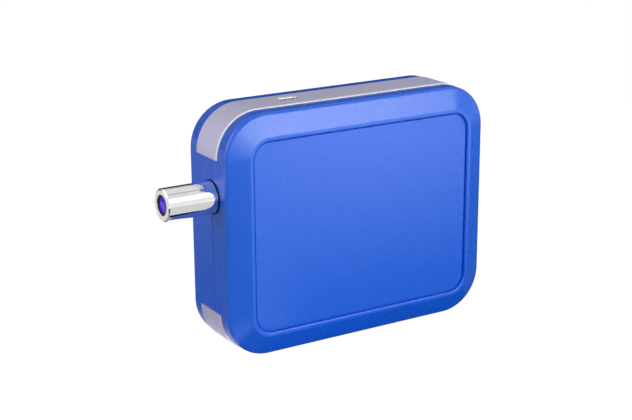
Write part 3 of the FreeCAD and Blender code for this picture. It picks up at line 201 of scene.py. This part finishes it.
# Cards just above the floor: height, brightness and (x, y) corners
CARD_HEIGHT = 0.3 * MM
UPPER_CARD_HEIGHT = 0.6 * MM
FLOOR_CARDS = {
    # The black foot card is a painted shadow: seen only in reflections, it stands in for the housing's
    # contact shadow on the floor.
    "foot_painted_shadow": (CARD_HEIGHT, 0.0, [(-0.055, -0.038), (0.075, -0.038), (0.075, -0.010), (-0.055, -0.010)]),
    "left_dark": (CARD_HEIGHT, 0.08, [(-0.30, -0.36), (0.045, -0.36), (-0.062, -0.045), (-0.30, -0.045)]),
    "left_grey": (CARD_HEIGHT, 0.33, [(-0.30, -0.045), (-0.062, -0.045), (-0.0605, 0.02), (-0.30, 0.02)]),
    "wall_grey": (CARD_HEIGHT, 0.2, [(-0.30, 0.02), (-0.0585, 0.02), (-0.0585, 0.40), (-0.30, 0.40)]),
    "right_grey": (UPPER_CARD_HEIGHT, 0.13, [(0.060, -0.06), (0.60, -0.10), (0.60, 0.15), (0.060, 0.15)]),
    "nose_white": (UPPER_CARD_HEIGHT, 0.72,
                   [(-0.225, 0.115), (-0.140, 0.115), (-0.140, 0.225), (-0.225, 0.225)]),
    "behind_white": (CARD_HEIGHT, 1.2, [(-0.055, 0.030), (0.10, 0.030), (0.10, 0.25), (-0.055, 0.25)]),
    "tube_strip": (CARD_HEIGHT, 0.66, [(-0.060, -0.041), (-0.021, -0.041), (0.174, -0.42), (0.069, -0.42)]),
}

# Floor card that brightens towards the front, between two places along Y
RAMP_CORNERS = [(-0.020, -0.041), (0.30, -0.041), (0.42, -0.42), (0.175, -0.42)]
RAMP_LEVELS = (0.03, 1.25)
RAMP_PLACES = (-0.055, -0.25)

# Camera, found from the outline of the object in the photograph
IMAGE_WIDTH = 632
FOCAL_PIXELS = 1411.4
SENSOR_WIDTH = 36.0
CLIP_START = 0.01
CAMERA_PITCH = math.radians(16.90)
CAMERA_YAW = math.radians(31.32)
CAMERA_ROLL = math.radians(-0.34)
CAMERA_OFFSET = Vector((18.872, 536.337, -4.267)) * MM


# Meshes

def linked_object(name, data):
    """New object in the scene."""
    made = bpy.data.objects.new(name, data)
    bpy.context.scene.collection.objects.link(made)
    return made


def new_object(name, vertices, faces):
    """Mesh object whose faces all look outwards."""
    mesh = bpy.data.meshes.new(name)
    mesh.from_pydata([tuple(vertex) for vertex in vertices], [], faces)
    editable = bmesh.new()
    editable.from_mesh(mesh)
    bmesh.ops.recalc_face_normals(editable, faces=editable.faces)
    editable.to_mesh(mesh)
    editable.free()
    return linked_object(name, mesh)


def new_piece(name, vertices, faces, slot_name, material, replaced):
    """Piece that rides on the body, in one material, in place of a node of the frame."""
    piece = new_object(name, vertices, faces)
    piece.data.materials.append(material)
    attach(piece, BODY)
    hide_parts(replaced)
    return piece


def finish_shading(piece):
    """Smooth faces, sharp real edges, and flat faces that keep their own normal."""
    mesh = piece.data
    for polygon in mesh.polygons:
        polygon.use_smooth = True
    mesh.set_sharp_from_angle(angle=SMOOTH_LIMIT)
    modifier = piece.modifiers.new("normals", "WEIGHTED_NORMAL")
    modifier.keep_sharp = True
    modifier.weight = NORMAL_WEIGHT


def rounded(corners, steps=FILLET_STEPS):
    """Points of an open line of (x, y) or (x, y, radius) corners, rounded where they have a radius."""
    points = [Vector(corners[0][:2])]
    for before, here, after in zip(corners, corners[1:], corners[2:]):
        corner = Vector(here[:2])
        if len(here) < 3:
            points.append(corner)
            continue
        radius = here[2]
        towards = (Vector(before[:2]) - corner).normalized()
        away = (Vector(after[:2]) - corner).normalized()
        half = towards.angle(away) / 2
        centre = corner + (towards + away).normalized() * radius / math.sin(half)
        start = corner + towards * radius / math.tan(half) - centre
        end = corner + away * radius / math.tan(half) - centre
        sweep = start.angle(end)
        for step in range(steps + 1):
            share = step / steps
            mix = start * math.sin((1 - share) * sweep) + end * math.sin(share * sweep)
            points.append(centre + mix / math.sin(sweep))
    points.append(Vector(corners[-1][:2]))
    return points


def loops_to_faces(count, around, closed_loops=False):
    """Quads between rings of points. The last ring meets the first, or both are capped."""
    faces = []
    rings = count if closed_loops else count - 1
    for ring in range(rings):
        following = (ring + 1) % count
        for place in range(around):
            beside = (place + 1) % around
            faces.append((ring * around + place, following * around + place,
                          following * around + beside, ring * around + beside))
    if not closed_loops:
        faces.append(tuple(range(around)))
        faces.append(tuple(reversed(range((count - 1) * around, count * around))))
    return faces


def lathe(profile, centre, axis, steps=TURN_STEPS, closed=True):
    """Turned surface from (distance along the axis, radius) points, closed or capped at its ends."""
    turn = Vector((1, 0, 0)).rotation_difference(Vector(axis)).to_matrix()
    vertices = []
    for along, radius in profile:
        for step in range(steps):
            angle = 2 * math.pi * step / steps
            local = Vector((along, radius * math.cos(angle), radius * math.sin(angle)))
            vertices.append(turn @ local + Vector(centre))
    return vertices, loops_to_faces(len(profile), steps, closed_loops=closed)


def evaluated_copy(piece):
    """The piece's mesh with its modifiers carried out."""
    graph = bpy.context.evaluated_depsgraph_get()
    return bpy.data.meshes.new_from_object(piece.evaluated_get(graph))


def cut_away(piece, cutters):
    """Cut closed solids out of a piece."""
    for cutter in cutters:
        modifier = piece.modifiers.new("cut", "BOOLEAN")
        modifier.operation = "DIFFERENCE"
        modifier.solver = "EXACT"
        modifier.object = cutter
        mesh = evaluated_copy(piece)
        piece.modifiers.clear()
        piece.data = mesh
    for cutter in cutters:
        bpy.data.objects.remove(cutter)


# Housing

def outline(inset):
    """(x, z, outward x, outward z) round the housing, moved in by an inset."""
    radius = CORNER_RADIUS - inset
    places = []
    corners = ((1, 1, 0), (-1, 1, 90), (-1, -1, 180), (1, -1, 270))
    for side_x, side_z, first in corners:
        centre_x = side_x * (HALF_WIDTH - CORNER_RADIUS)
        centre_z = MID_Z + side_z * (HALF_HEIGHT - CORNER_RADIUS)
        for step in range(ARC_STEPS + 1):
            angle = math.radians(first + 90 * step / ARC_STEPS)
            out_x = math.cos(angle)
            out_z = math.sin(angle)
            places.append((centre_x + radius * out_x, centre_z + radius * out_z, out_x, out_z))
    return places


def shell_profile(side):
    """(inset, depth from the face) from the middle of the inner panel round to the outer one."""
    parting = abs(side * HALF_DEPTH - PARTING_Y)
    panel_inset = BEVEL_INSET + RIM_WIDTH
    lean = math.hypot(1, BEVEL_DEPTH / BEVEL_INSET)
    floor_depth = PANEL_RECESS + WALL
    floor_inset = BEVEL_INSET * (1 - (floor_depth - WALL * lean) / BEVEL_DEPTH)
    shoulder_depth = BEVEL_DEPTH * (1 - WALL / BEVEL_INSET) + WALL * lean
    inner = [(floor_inset + PANEL_MARGIN, floor_depth), (floor_inset, floor_depth),
             (WALL, shoulder_depth), (WALL, parting)]
    outer = rounded([
        (PARTING_CHAMFER, parting),
        (0, parting - PARTING_CHAMFER, PARTING_EDGE),
        (0, BEVEL_DEPTH, SHOULDER_ROUND),
        (BEVEL_INSET, 0, RIM_ROUND),
        (panel_inset, 0, RIM_EDGE),
        (panel_inset, PANEL_RECESS + GROOVE_DEPTH, GROOVE_EDGE),
        (panel_inset + GROOVE_WIDTH, PANEL_RECESS + GROOVE_DEPTH, GROOVE_EDGE),
        (panel_inset + GROOVE_WIDTH, PANEL_RECESS, GROOVE_EDGE),
        (panel_inset + PANEL_MARGIN, PANEL_RECESS),
    ])
    return inner + [tuple(point) for point in outer]


def shell_mesh(side):
    """The profile swept round the outline, closed by the inner and the outer panel."""
    vertices = []
    profile = shell_profile(side)
    for inset, depth in profile:
        y = side * (HALF_DEPTH - depth)
        vertices += [(x, y, z) for x, z, out_x, out_z in outline(inset)]
    return vertices, loops_to_faces(len(profile), len(outline(0)))


def strip_stations(level):
    """Places along the outline, left to right, over the top (level 1) or bottom (-1)."""
    reach = HALF_HEIGHT - CORNER_RADIUS - NEARLY_ZERO
    places = [place for place in outline(0) if level * (place[1] - MID_Z) >= reach]
    return sorted(places, key=lambda place: (place[0], level * place[1] * math.copysign(1, -place[0])))


def strip(level, section, end_section, end_growth=0):
    """Closed strip over the top or bottom from (height, depth) corners, with one more ring per end."""
    stations = strip_stations(level)
    rings = [[(x + out_x * height, y, z + out_z * height) for height, y in section]
             for x, z, out_x, out_z in stations]
    ends = [[(x + out_x * height, y, z - level * end_growth) for height, y in end_section]
            for x, z, out_x, out_z in (stations[0], stations[-1])]
    rings = [ends[0], *rings, ends[1]]
    vertices = [vertex for ring in rings for vertex in ring]
    return vertices, loops_to_faces(len(rings), len(section))


def trim_section():
    """(height, depth) corners across a trim, with a softened chamfer on both sides."""
    inner = TRIM_PROUD - TRIM_THICKNESS
    edge = TRIM_PROUD - TRIM_EDGE
    line = rounded([
        (inner, -TRIM_HALF),
        (edge, -TRIM_HALF, TRIM_SOFTENING),
        (TRIM_PROUD, -TRIM_HALF + TRIM_EDGE, TRIM_SOFTENING),
        (TRIM_PROUD, TRIM_HALF - TRIM_EDGE, TRIM_SOFTENING),
        (edge, TRIM_HALF, TRIM_SOFTENING),
        (inner, TRIM_HALF),
    ], steps=TRIM_FILLET_STEPS)
    return [tuple(point) for point in line]


def trim_pocket(level):
    """What the shells lose for a trim and its adhesive film."""
    depth = TRIM_THICKNESS - TRIM_PROUD + TAPE_THICKNESS
    half = TRIM_HALF + TRIM_GAP
    section = [(-depth, -half), (POCKET_TOP, -half), (POCKET_TOP, half), (-depth, half)]
    return new_object("pocket", *strip(level, section, section, TRIM_GAP))


def stadium_outline(grow):
    """(x, y) round the port, grown outwards."""
    radius = (PORT_HIGH.y - PORT_LOW.y) / 2
    middle_y = (PORT_HIGH.y + PORT_LOW.y) / 2
    places = []
    for centre_x, first in ((PORT_HIGH.x - radius, -90), (PORT_LOW.x + radius, 90)):
        for step in range(PORT_END_STEPS + 1):
            angle = math.radians(first + 180 * step / PORT_END_STEPS)
            places.append((centre_x + (radius + grow) * math.cos(angle),
                           middle_y + (radius + grow) * math.sin(angle)))
    return places


def port_cutter():
    """Opening for the port's sleeve, through the trim and the wall under it."""
    around = stadium_outline(PORT_CLEARANCE)
    heights = (REAR_HIGH.z - HOLE_REACH, PORT_HIGH.z + HOLE_REACH)
    vertices = [(x, y, z) for z in heights for x, y in around]
    return new_object("port", vertices, loops_to_faces(len(heights), len(around)))


def rod_cutter(radius, start, axis, length, steps=HOLE_STEPS):
    """Round rod, or one with a few flat sides."""
    profile = [(0, radius), (length, radius)]
    return new_object("hole", *lathe(profile, start, axis, steps, closed=False))


def probe_cutter():
    """Hole for the probe's seal in the left wall."""
    radius = (SEAL_HIGH.z - SEAL_LOW.z) / 2
    start = (-HALF_WIDTH - HOLE_REACH, TUBE_Y, TUBE_Z)
    return rod_cutter(radius, start, (1, 0, 0), 2 * HOLE_REACH)


def post_places():
    """(x, z) of the four case screws."""
    reach_x = HALF_WIDTH - POST_INSET
    reach_z = HALF_HEIGHT - POST_INSET
    return [(sign_x * reach_x, MID_Z + sign_z * reach_z) for sign_x in (-1, 1) for sign_z in (-1, 1)]


def make_shell(name, side, material):
    """Half of the housing: the front one (side -1), or the rear one (1) with port and screw holes."""
    piece = new_piece(name, *shell_mesh(side), "blue_shell", material, name.replace("_skin", ""))
    cutters = [trim_pocket(1), trim_pocket(-1), probe_cutter()]
    if side > 0:
        cutters.append(port_cutter())
        for x, z in post_places():
            cutters.append(rod_cutter(COUNTERBORE_RADIUS, (x, HEAD_SEAT_Y, z), (0, 1, 0), HOLE_REACH))
    cut_away(piece, cutters)
    finish_shading(piece)


def colour_edges(piece):
    """The cut edges are the faces that lean between the outside and the side of the strip."""
    for polygon in piece.data.polygons:
        leans = EDGE_LEAN_LOW < abs(polygon.normal.y) < EDGE_LEAN_HIGH
        if leans and abs(abs(polygon.center.y) - TRIM_HALF) < TRIM_EDGE:
            polygon.material_index = 1


def make_trim(name, level, material, edge_material, cutters):
    """Let-in strip over the top (level 1) or bottom (-1), with bright cut edges along it."""
    section = trim_section()
    end_section = [(min(height, TRIM_PROUD - TRIM_EDGE), y) for height, y in section]
    mesh = strip(level, section, end_section)
    piece = new_piece(name, *mesh, "silver_trim", material, name.replace("_strip", ""))
    piece.data.materials.append(edge_material)
    cut_away(piece, cutters)
    colour_edges(piece)
    finish_shading(piece)


# Probe

def make_tube(material):
    """Polished tube with a softened chamfer, an open bore and a shoulder short of the wall."""
    tip = TUBE_LOW.x
    bore = (RING_HIGH.z - RING_LOW.z) / 2 + PROBE_CLEARANCE
    glass = LENS_HIGH.x - tip
    aperture = bore - LENS_LEDGE
    shoulder = -HALF_WIDTH - SHOULDER_GAP - tip
    length = TUBE_HIGH.x - tip
    profile = rounded([
        (glass, bore),
        (0, bore, BORE_SOFTENING),
        (0, TUBE_RADIUS - PROBE_CHAMFER, PROBE_SOFTENING),
        (PROBE_CHAMFER, TUBE_RADIUS, PROBE_SOFTENING),
        (shoulder, TUBE_RADIUS, BORE_SOFTENING),
        (shoulder, TUBE_RADIUS - SHANK_STEP),
        (length, TUBE_RADIUS - SHANK_STEP),
        (length, aperture),
        (glass, aperture),
    ])
    tube = lathe(profile, (tip, TUBE_Y, TUBE_Z), (1, 0, 0))
    piece = new_piece("probe_tube_polished", *tube, "probe_steel", material, "probe_tube")
    finish_shading(piece)


def soft_ring(low, high, inner, softening):
    """Turned ring on the probe's axis, between the ends of a box, with softened front corners."""
    outer = (high.z - low.z) / 2
    length = high.x - low.x
    profile = rounded([(length, inner), (0, inner, softening), (0, outer, softening), (length, outer)])
    return lathe(profile, (low.x, TUBE_Y, TUBE_Z), (1, 0, 0))


def make_nose_ring(material):
    """Retaining ring in the tube's nose."""
    inner = (RING_HIGH.z - RING_LOW.z) / 2 - RING_WIDTH
    ring = soft_ring(RING_LOW, RING_HIGH, inner, RING_SOFTENING)
    piece = new_piece("nose_ring_turned", *ring, "black_anodised", material, "nose_ring")
    finish_shading(piece)


def make_nose_lens(material):
    """Lens behind the retaining ring, with a dome that reaches into it."""
    radius = (LENS_HIGH.z - LENS_LOW.z) / 2
    dome = RING_HIGH.x - LENS_LOW.x
    thickness = LENS_HIGH.x - LENS_LOW.x
    aperture = (RING_HIGH.z - RING_LOW.z) / 2 - RING_WIDTH - PROBE_CLEARANCE
    profile = [(0, NEARLY_ZERO)]
    for step in range(1, DOME_STEPS + 1):
        share = step / DOME_STEPS
        profile.append((dome * share ** 2, aperture * share))
    profile += [(dome, radius), (thickness, radius), (thickness, NEARLY_ZERO)]
    lens = lathe(profile, (LENS_LOW.x, TUBE_Y, TUBE_Z), (1, 0, 0), closed=False)
    piece = new_piece("nose_lens_coated", *lens, "coated_glass", material, "nose_lens")
    finish_shading(piece)


def make_seal(material):
    """Black ring between the tube and the wall."""
    inner = TUBE_RADIUS - SHANK_STEP + PROBE_CLEARANCE
    seal = soft_ring(SEAL_LOW, SEAL_HIGH, inner, SEAL_SOFTENING)
    piece = new_piece("probe_seal_ring", *seal, "seal_rubber", material, "probe_seal")
    finish_shading(piece)


# Port and case screws

def make_port_shell(material):
    """Thin rounded sleeve of the port, open upwards, with a folded lip."""
    low = PORT_LOW.z
    high = PORT_HIGH.z
    levels = rounded([(0, low), (0, high, PORT_LIP), (-PORT_WALL, high, PORT_LIP),
                      (-PORT_WALL, low + PORT_WALL)])
    vertices = [(x, y, z) for grow, z in levels for x, y in stadium_outline(grow)]
    faces = loops_to_faces(len(levels), len(stadium_outline(0)))
    piece = new_piece("usb_shell_sleeve", vertices, faces, "port_steel", material, "usb_shell")
    finish_shading(piece)


def knurl(vertices, x, z):
    """Press every second row of points on the side of a screw's head inwards."""
    centre = Vector((x, 0, z))
    for index, vertex in enumerate(vertices):
        radial = Vector((vertex.x, 0, vertex.z)) - centre
        on_side = abs(radial.length - CASE_HEAD_RADIUS) < KNURL_TOLERANCE
        if on_side and index % 2 and vertex.y > HEAD_SEAT_Y:
            vertices[index] = vertex - radial.normalized() * KNURL_DEPTH


def make_case_screws(material):
    """Socket heads with a knurled side and a softened edge, on plain shanks."""
    length = HEAD_SEAT_Y - SCREWS_LOW.y
    profile = rounded([
        (-length, SCREW_RADIUS), (0, SCREW_RADIUS), (0, CASE_HEAD_RADIUS),
        (CASE_HEAD_HEIGHT, CASE_HEAD_RADIUS, CASE_HEAD_EDGE), (CASE_HEAD_HEIGHT, SCREW_RADIUS)])
    socket_radius = HEX_ACROSS_FLATS / 2 / math.cos(math.pi / HEX_SIDES)
    socket_floor = HEAD_SEAT_Y + CASE_HEAD_HEIGHT - HEX_DEPTH
    for index, (x, z) in enumerate(post_places()):
        vertices, faces = lathe(profile, (x, HEAD_SEAT_Y, z), (0, 1, 0), KNURL_COUNT * 2, closed=False)
        knurl(vertices, x, z)
        name = "case_screw_%d" % (index + 1)
        piece = new_piece(name, vertices, faces, "screw_steel", material, "case_screws")
        cut_away(piece, [rod_cutter(socket_radius, (x, socket_floor, z), (0, 1, 0), HOLE_REACH, HEX_SIDES)])
        finish_shading(piece)


# Materials

def material_of(name):
    """New material with its node tree and its shader."""
    made = bpy.data.materials.new(name)
    made.use_nodes = True
    tree = made.node_tree
    return made, tree, tree.nodes["Principled BSDF"]


def object_place(tree):
    """Place in the object's own coordinates."""
    return tree.nodes.new("ShaderNodeTexCoord").outputs["Object"]


def grain_height(tree, scale):
    """Height of a fine grain, in features per metre."""
    node = tree.nodes.new("ShaderNodeTexNoise")
    node.inputs["Scale"].default_value = scale
    node.inputs["Detail"].default_value = GRAIN_DETAIL
    tree.links.new(object_place(tree), node.inputs["Vector"])
    return node.outputs["Fac"]


def spread(tree, source, low, high, start=0.0, end=1.0):
    """A value that goes from low to high while its source goes from start to end."""
    node = tree.nodes.new("ShaderNodeMapRange")
    node.inputs["From Min"].default_value = start
    node.inputs["From Max"].default_value = end
    node.inputs["To Min"].default_value = low
    node.inputs["To Max"].default_value = high
    tree.links.new(source, node.inputs["Value"])
    return node.outputs["Result"]


def blend_colours(tree, factor, first, second):
    """Colour between two others."""
    node = tree.nodes.new("ShaderNodeMix")
    node.data_type = "RGBA"
    node.inputs["A"].default_value = (*first, 1)
    node.inputs["B"].default_value = (*second, 1)
    tree.links.new(factor, node.inputs["Factor"])
    return node.outputs["Result"]


def bump(tree, height, strength):
    """Normal of a surface that the grain raises."""
    node = tree.nodes.new("ShaderNodeBump")
    node.inputs["Strength"].default_value = strength
    node.inputs["Distance"].default_value = GRAIN_HEIGHT
    tree.links.new(height, node.inputs["Height"])
    return node.outputs["Normal"]


def finish(name, colour, roughness, metallic=0.0, grain=1500.0, variation=0.06, relief=0.2, level=0.5):
    """Colour and roughness vary with a fine grain that also raises the surface."""
    made, tree, shader = material_of(name)
    height = grain_height(tree, grain)
    shades = [tuple(channel * (1 + sign * variation) for channel in colour) for sign in (-1, 1)]
    factor = spread(tree, height, 0, 1, *GRAIN_RANGE)
    tree.links.new(blend_colours(tree, factor, *shades), shader.inputs["Base Color"])
    limits = [roughness * (1 + sign * ROUGHNESS_SPREAD) for sign in (-1, 1)]
    tree.links.new(spread(tree, height, *limits, *GRAIN_RANGE), shader.inputs["Roughness"])
    shader.inputs["Metallic"].default_value = metallic
    shader.inputs["Specular IOR Level"].default_value = level
    tree.links.new(bump(tree, height, relief), shader.inputs["Normal"])
    return made


blue_plastic = finish("blue_plastic", (0.0012, 0.125, 0.78), 0.28, grain=2700.0, relief=0.7, level=0.75)
silver = finish("satin_silver", (0.65, 0.645, 0.84), 0.5, 0.35, 2600.0, 0.1, 0.3)
bright_edge = finish("bright_edge", (0.97, 0.95, 0.93), 0.25, 0.6, 900.0, 0.02, 0.03)
steel = finish("polished_steel", (0.94, 0.93, 0.96), 0.06, 1.0, 700.0, 0.02, 0.02)
black_metal = finish("black_anodised", (0.02, 0.02, 0.016), 0.45, 0.3, 2500.0, 0.2, 0.15)
rubber = finish("seal_rubber", (0.006, 0.006, 0.007), 0.7, 0.0, 2000.0, 0.2, 0.3)
lens_glass = finish("violet_coated_glass", (0.09, 0.0, 1.0), 0.08, 0.0, 400.0, 0.05, 0.01)
screw_steel = finish("screw_steel", (0.045, 0.045, 0.05), 0.35, 1.0, 1800.0, 0.15, 0.1)
port_steel = finish("port_steel", (0.95, 0.94, 0.90), 0.2, 1.0, 1500.0, 0.05, 0.05)

# Colour, roughness and metallic share of the nodes that stay, by slot
SLOT_FINISHES = {
    "adhesive_film": ((0.05, 0.05, 0.05), 0.8, 0.0),
    "insert_brass": ((0.62, 0.42, 0.14), 0.35, 1.0),
    "bench_aluminium": ((0.03, 0.03, 0.03), 0.5, 0.4),
    "port_plastic": ((0.015, 0.015, 0.016), 0.5, 0.0),
    "contact_gold": ((0.85, 0.58, 0.22), 0.25, 1.0),
    "clear_glass": ((0.75, 0.82, 0.84), 0.05, 0.0),
    "mirror_coating": ((0.88, 0.88, 0.9), 0.04, 1.0),
    "grating_surface": ((0.55, 0.6, 0.62), 0.18, 1.0),
    "board_green": ((0.01, 0.12, 0.05), 0.45, 0.0),
    "chip_black": ((0.018, 0.018, 0.02), 0.5, 0.0),
    "flex_amber": ((0.55, 0.22, 0.03), 0.35, 0.0),
    "sensor_ceramic": ((0.5, 0.48, 0.44), 0.5, 0.0),
    "diode_gold": ((0.8, 0.6, 0.28), 0.28, 1.0),
    "black_anodised": ((0.02, 0.02, 0.018), 0.45, 0.3),
    "screw_steel": ((0.3, 0.3, 0.31), 0.35, 1.0),
    "coated_glass": ((0.3, 0.2, 0.6), 0.06, 0.0),
    "port_steel": ((0.72, 0.71, 0.68), 0.3, 1.0),
}


def dress_inner_nodes():
    """Give every node that stays the finish of its slot."""
    finishes = {name: finish("inner_" + name, *values) for name, values in SLOT_FINISHES.items()}
    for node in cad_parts.values():
        if node.hide_render:
            continue
        for place in node.material_slots:
            place.material = finishes[place.material.name.split(".")[0]]


# Stage, lights and camera

def make_camera():
    """Camera whose turn has the image's right, the view's direction and the image's up as rows."""
    turn = (Matrix.Rotation(CAMERA_ROLL, 3, "Y") @ Matrix.Rotation(CAMERA_PITCH, 3, "X")
            @ Matrix.Rotation(CAMERA_YAW, 3, "Z"))
    matrix = Matrix((turn[0], turn[2], -turn[1])).transposed().to_4x4()
    matrix.translation = Vector((0, -HALF_DEPTH, MID_Z)) - turn.transposed() @ CAMERA_OFFSET
    data = bpy.data.cameras.new("camera")
    data.sensor_width = SENSOR_WIDTH
    data.lens = FOCAL_PIXELS / IMAGE_WIDTH * SENSOR_WIDTH
    data.clip_start = CLIP_START
    camera = linked_object("camera", data)
    camera.matrix_world = matrix
    bpy.context.scene.camera = camera


def larger(tree, first, second):
    """The larger of two values."""
    node = tree.nodes.new("ShaderNodeMath")
    node.operation = "MAXIMUM"
    tree.links.new(first, node.inputs[0])
    tree.links.new(second, node.inputs[1])
    return node.outputs["Value"]


def seen_share(tree, camera_share, glossy_share, other_share=0.0):
    """Share that differs for camera and transmission rays, for glossy rays and for all others."""
    ray = tree.nodes.new("ShaderNodeLightPath")
    direct = larger(tree, ray.outputs["Is Camera Ray"], ray.outputs["Is Transmission Ray"])
    shown = spread(tree, direct, other_share, camera_share)
    glossy = spread(tree, ray.outputs["Is Glossy Ray"], other_share, glossy_share)
    return larger(tree, shown, glossy)


def make_world():
    """White to the camera, and dimmer to what the object's surfaces receive and reflect."""
    world = bpy.data.worlds.new("studio")
    bpy.context.scene.world = world
    world.use_nodes = True
    tree = world.node_tree
    background = tree.nodes["Background"]
    background.inputs["Color"].default_value = WHITE
    level = seen_share(tree, 1.0, WORLD_GLOSSY, WORLD_DIFFUSE)
    tree.links.new(level, background.inputs["Strength"])


def white_glow(tree, strength):
    """Shader that only gives off white light."""
    glow = tree.nodes.new("ShaderNodeEmission")
    glow.inputs["Color"].default_value = WHITE
    glow.inputs["Strength"].default_value = strength
    return glow


def flat_sheet(name, corners, material):
    """Sheet of one face with four corners."""
    mesh = bpy.data.meshes.new(name)
    mesh.from_pydata(corners, [], [(0, 1, 2, 3)])
    mesh.materials.append(material)
    return linked_object(name, mesh)


def make_floor():
    """Pale floor that is white to the camera but for a faint contact shadow."""
    made, tree, shader = material_of("pale_floor")
    shader.inputs["Base Color"].default_value = FLOOR_COLOUR
    shader.inputs["Roughness"].default_value = FLOOR_ROUGHNESS
    shader.inputs["Specular IOR Level"].default_value = 0.0
    mix = tree.nodes.new("ShaderNodeMixShader")
    tree.links.new(seen_share(tree, FLOOR_SHARE, FLOOR_GLOSSY), mix.inputs[0])
    tree.links.new(shader.outputs["BSDF"], mix.inputs[1])
    tree.links.new(white_glow(tree, FLOOR_GLOW).outputs["Emission"], mix.inputs[2])
    tree.links.new(mix.outputs[0], tree.nodes["Material Output"].inputs["Surface"])
    signs = ((-1, -1), (1, -1), (1, 1), (-1, 1))
    corners = [(sign_x * FLOOR_REACH, sign_y * FLOOR_REACH, 0) for sign_x, sign_y in signs]
    floor = flat_sheet("floor", corners, made)


def area_light(name, place, target, width, height, strength, colour=(1, 1, 1)):
    """Soft box aimed at a target; strength is its brightness, with 1 for white."""
    data = bpy.data.lights.new(name, "AREA")
    data.shape = "RECTANGLE"
    data.size = width
    data.size_y = height
    data.energy = strength * width * height * math.pi
    data.color = colour
    lamp = linked_object(name, data)
    lamp.location = place
    lamp.rotation_euler = (Vector(target) - Vector(place)).to_track_quat("-Z", "Y").to_euler()
    lamp.visible_camera = False


def make_lights():
    """A wide soft light with a brighter middle, a low one at the table, and fills at the left."""
    for name, (left, right, low, high, strength) in FRONT_LIGHTS.items():
        height = Vector((0, 0, (low + high) / 2))
        place = LIGHT_AXIS * LIGHT_DISTANCE + LIGHT_ACROSS * (left + right) / 2 + height
        area_light(name, place, place - LIGHT_AXIS, right - left, high - low, strength)
    area_light("side_fill", FILL_PLACE, CENTRE, FILL_SIZE, FILL_SIZE, FILL_STRENGTH, FILL_TINT)


def card(name, corners, level):
    """Plain card seen only in reflections, and the tree and glow of its material."""
    made, tree, shader = material_of(name)
    tree.nodes.remove(shader)
    glow = white_glow(tree, level)
    tree.links.new(glow.outputs["Emission"], tree.nodes["Material Output"].inputs["Surface"])
    sheet = flat_sheet(name, corners, made)
    sheet.visible_camera = False
    sheet.visible_diffuse = False
    sheet.visible_shadow = False
    sheet.visible_transmission = False
    return tree, glow


def upright_card(name, left, right, low, high, level):
    """Card between two places on the floor and between two heights."""
    card(name, [(*left.xy, low), (*right.xy, low), (*right.xy, high), (*left.xy, high)], level)


def floor_card(name, height, level, places):
    """Level card with given (x, y) corners."""
    return card(name, [(x, y, height) for x, y in places], level)


def make_front_ramp():
    """Floor card that brightens towards the front."""
    tree, glow = floor_card("front_ramp", CARD_HEIGHT, RAMP_LEVELS[0], RAMP_CORNERS)
    parts = tree.nodes.new("ShaderNodeSeparateXYZ")
    tree.links.new(object_place(tree), parts.inputs["Vector"])
    level = spread(tree, parts.outputs["Y"], *RAMP_LEVELS, *RAMP_PLACES)
    tree.links.new(level, glow.inputs["Strength"])


def make_cards():
    """Cards that give the polished tube its bands, and the plastic its sheen and a painted shadow at its
    foot.
    """
    back_left = BACK_MIDDLE - BACK_ACROSS * BACK_LEFT
    back_right = BACK_MIDDLE + BACK_ACROSS * BACK_RIGHT
    for name, (low, high, level) in BACK_CARDS.items():
        upright_card(name, back_left, back_right, low, high, level)
    overhead = [(OVERHEAD_LEFT, *OVERHEAD_NEAR), (OVERHEAD_RIGHT, *OVERHEAD_NEAR),
                (OVERHEAD_RIGHT, *OVERHEAD_FAR), (OVERHEAD_LEFT, *OVERHEAD_FAR)]
    card("overhead_strip", overhead, OVERHEAD_LEVEL)
    middle = LIGHT_AXIS * (LIGHT_DISTANCE + HORIZON_SETBACK)
    ends = [middle + LIGHT_ACROSS * across for across in (HORIZON_LEFT, HORIZON_RIGHT)]
    upright_card("front_horizon", *ends, 0.0, HORIZON_HIGH, HORIZON_LEVEL)
    for name, values in FLOOR_CARDS.items():
        floor_card(name, *values)
    make_front_ramp()


# Pieces and stage

make_shell("front_shell_skin", -1, blue_plastic)
make_shell("rear_shell_skin", 1, blue_plastic)
make_trim("top_trim_strip", 1, silver, bright_edge, [port_cutter()])
make_trim("bottom_trim_strip", -1, silver, bright_edge, [])
make_tube(steel)
make_nose_ring(black_metal)
make_nose_lens(lens_glass)
make_seal(rubber)
make_port_shell(port_steel)
make_case_screws(screw_steel)
dress_inner_nodes()
make_camera()
make_world()
make_floor()
make_lights()
make_cards()

# View settings
bpy.context.scene.view_settings.view_transform = "Standard"
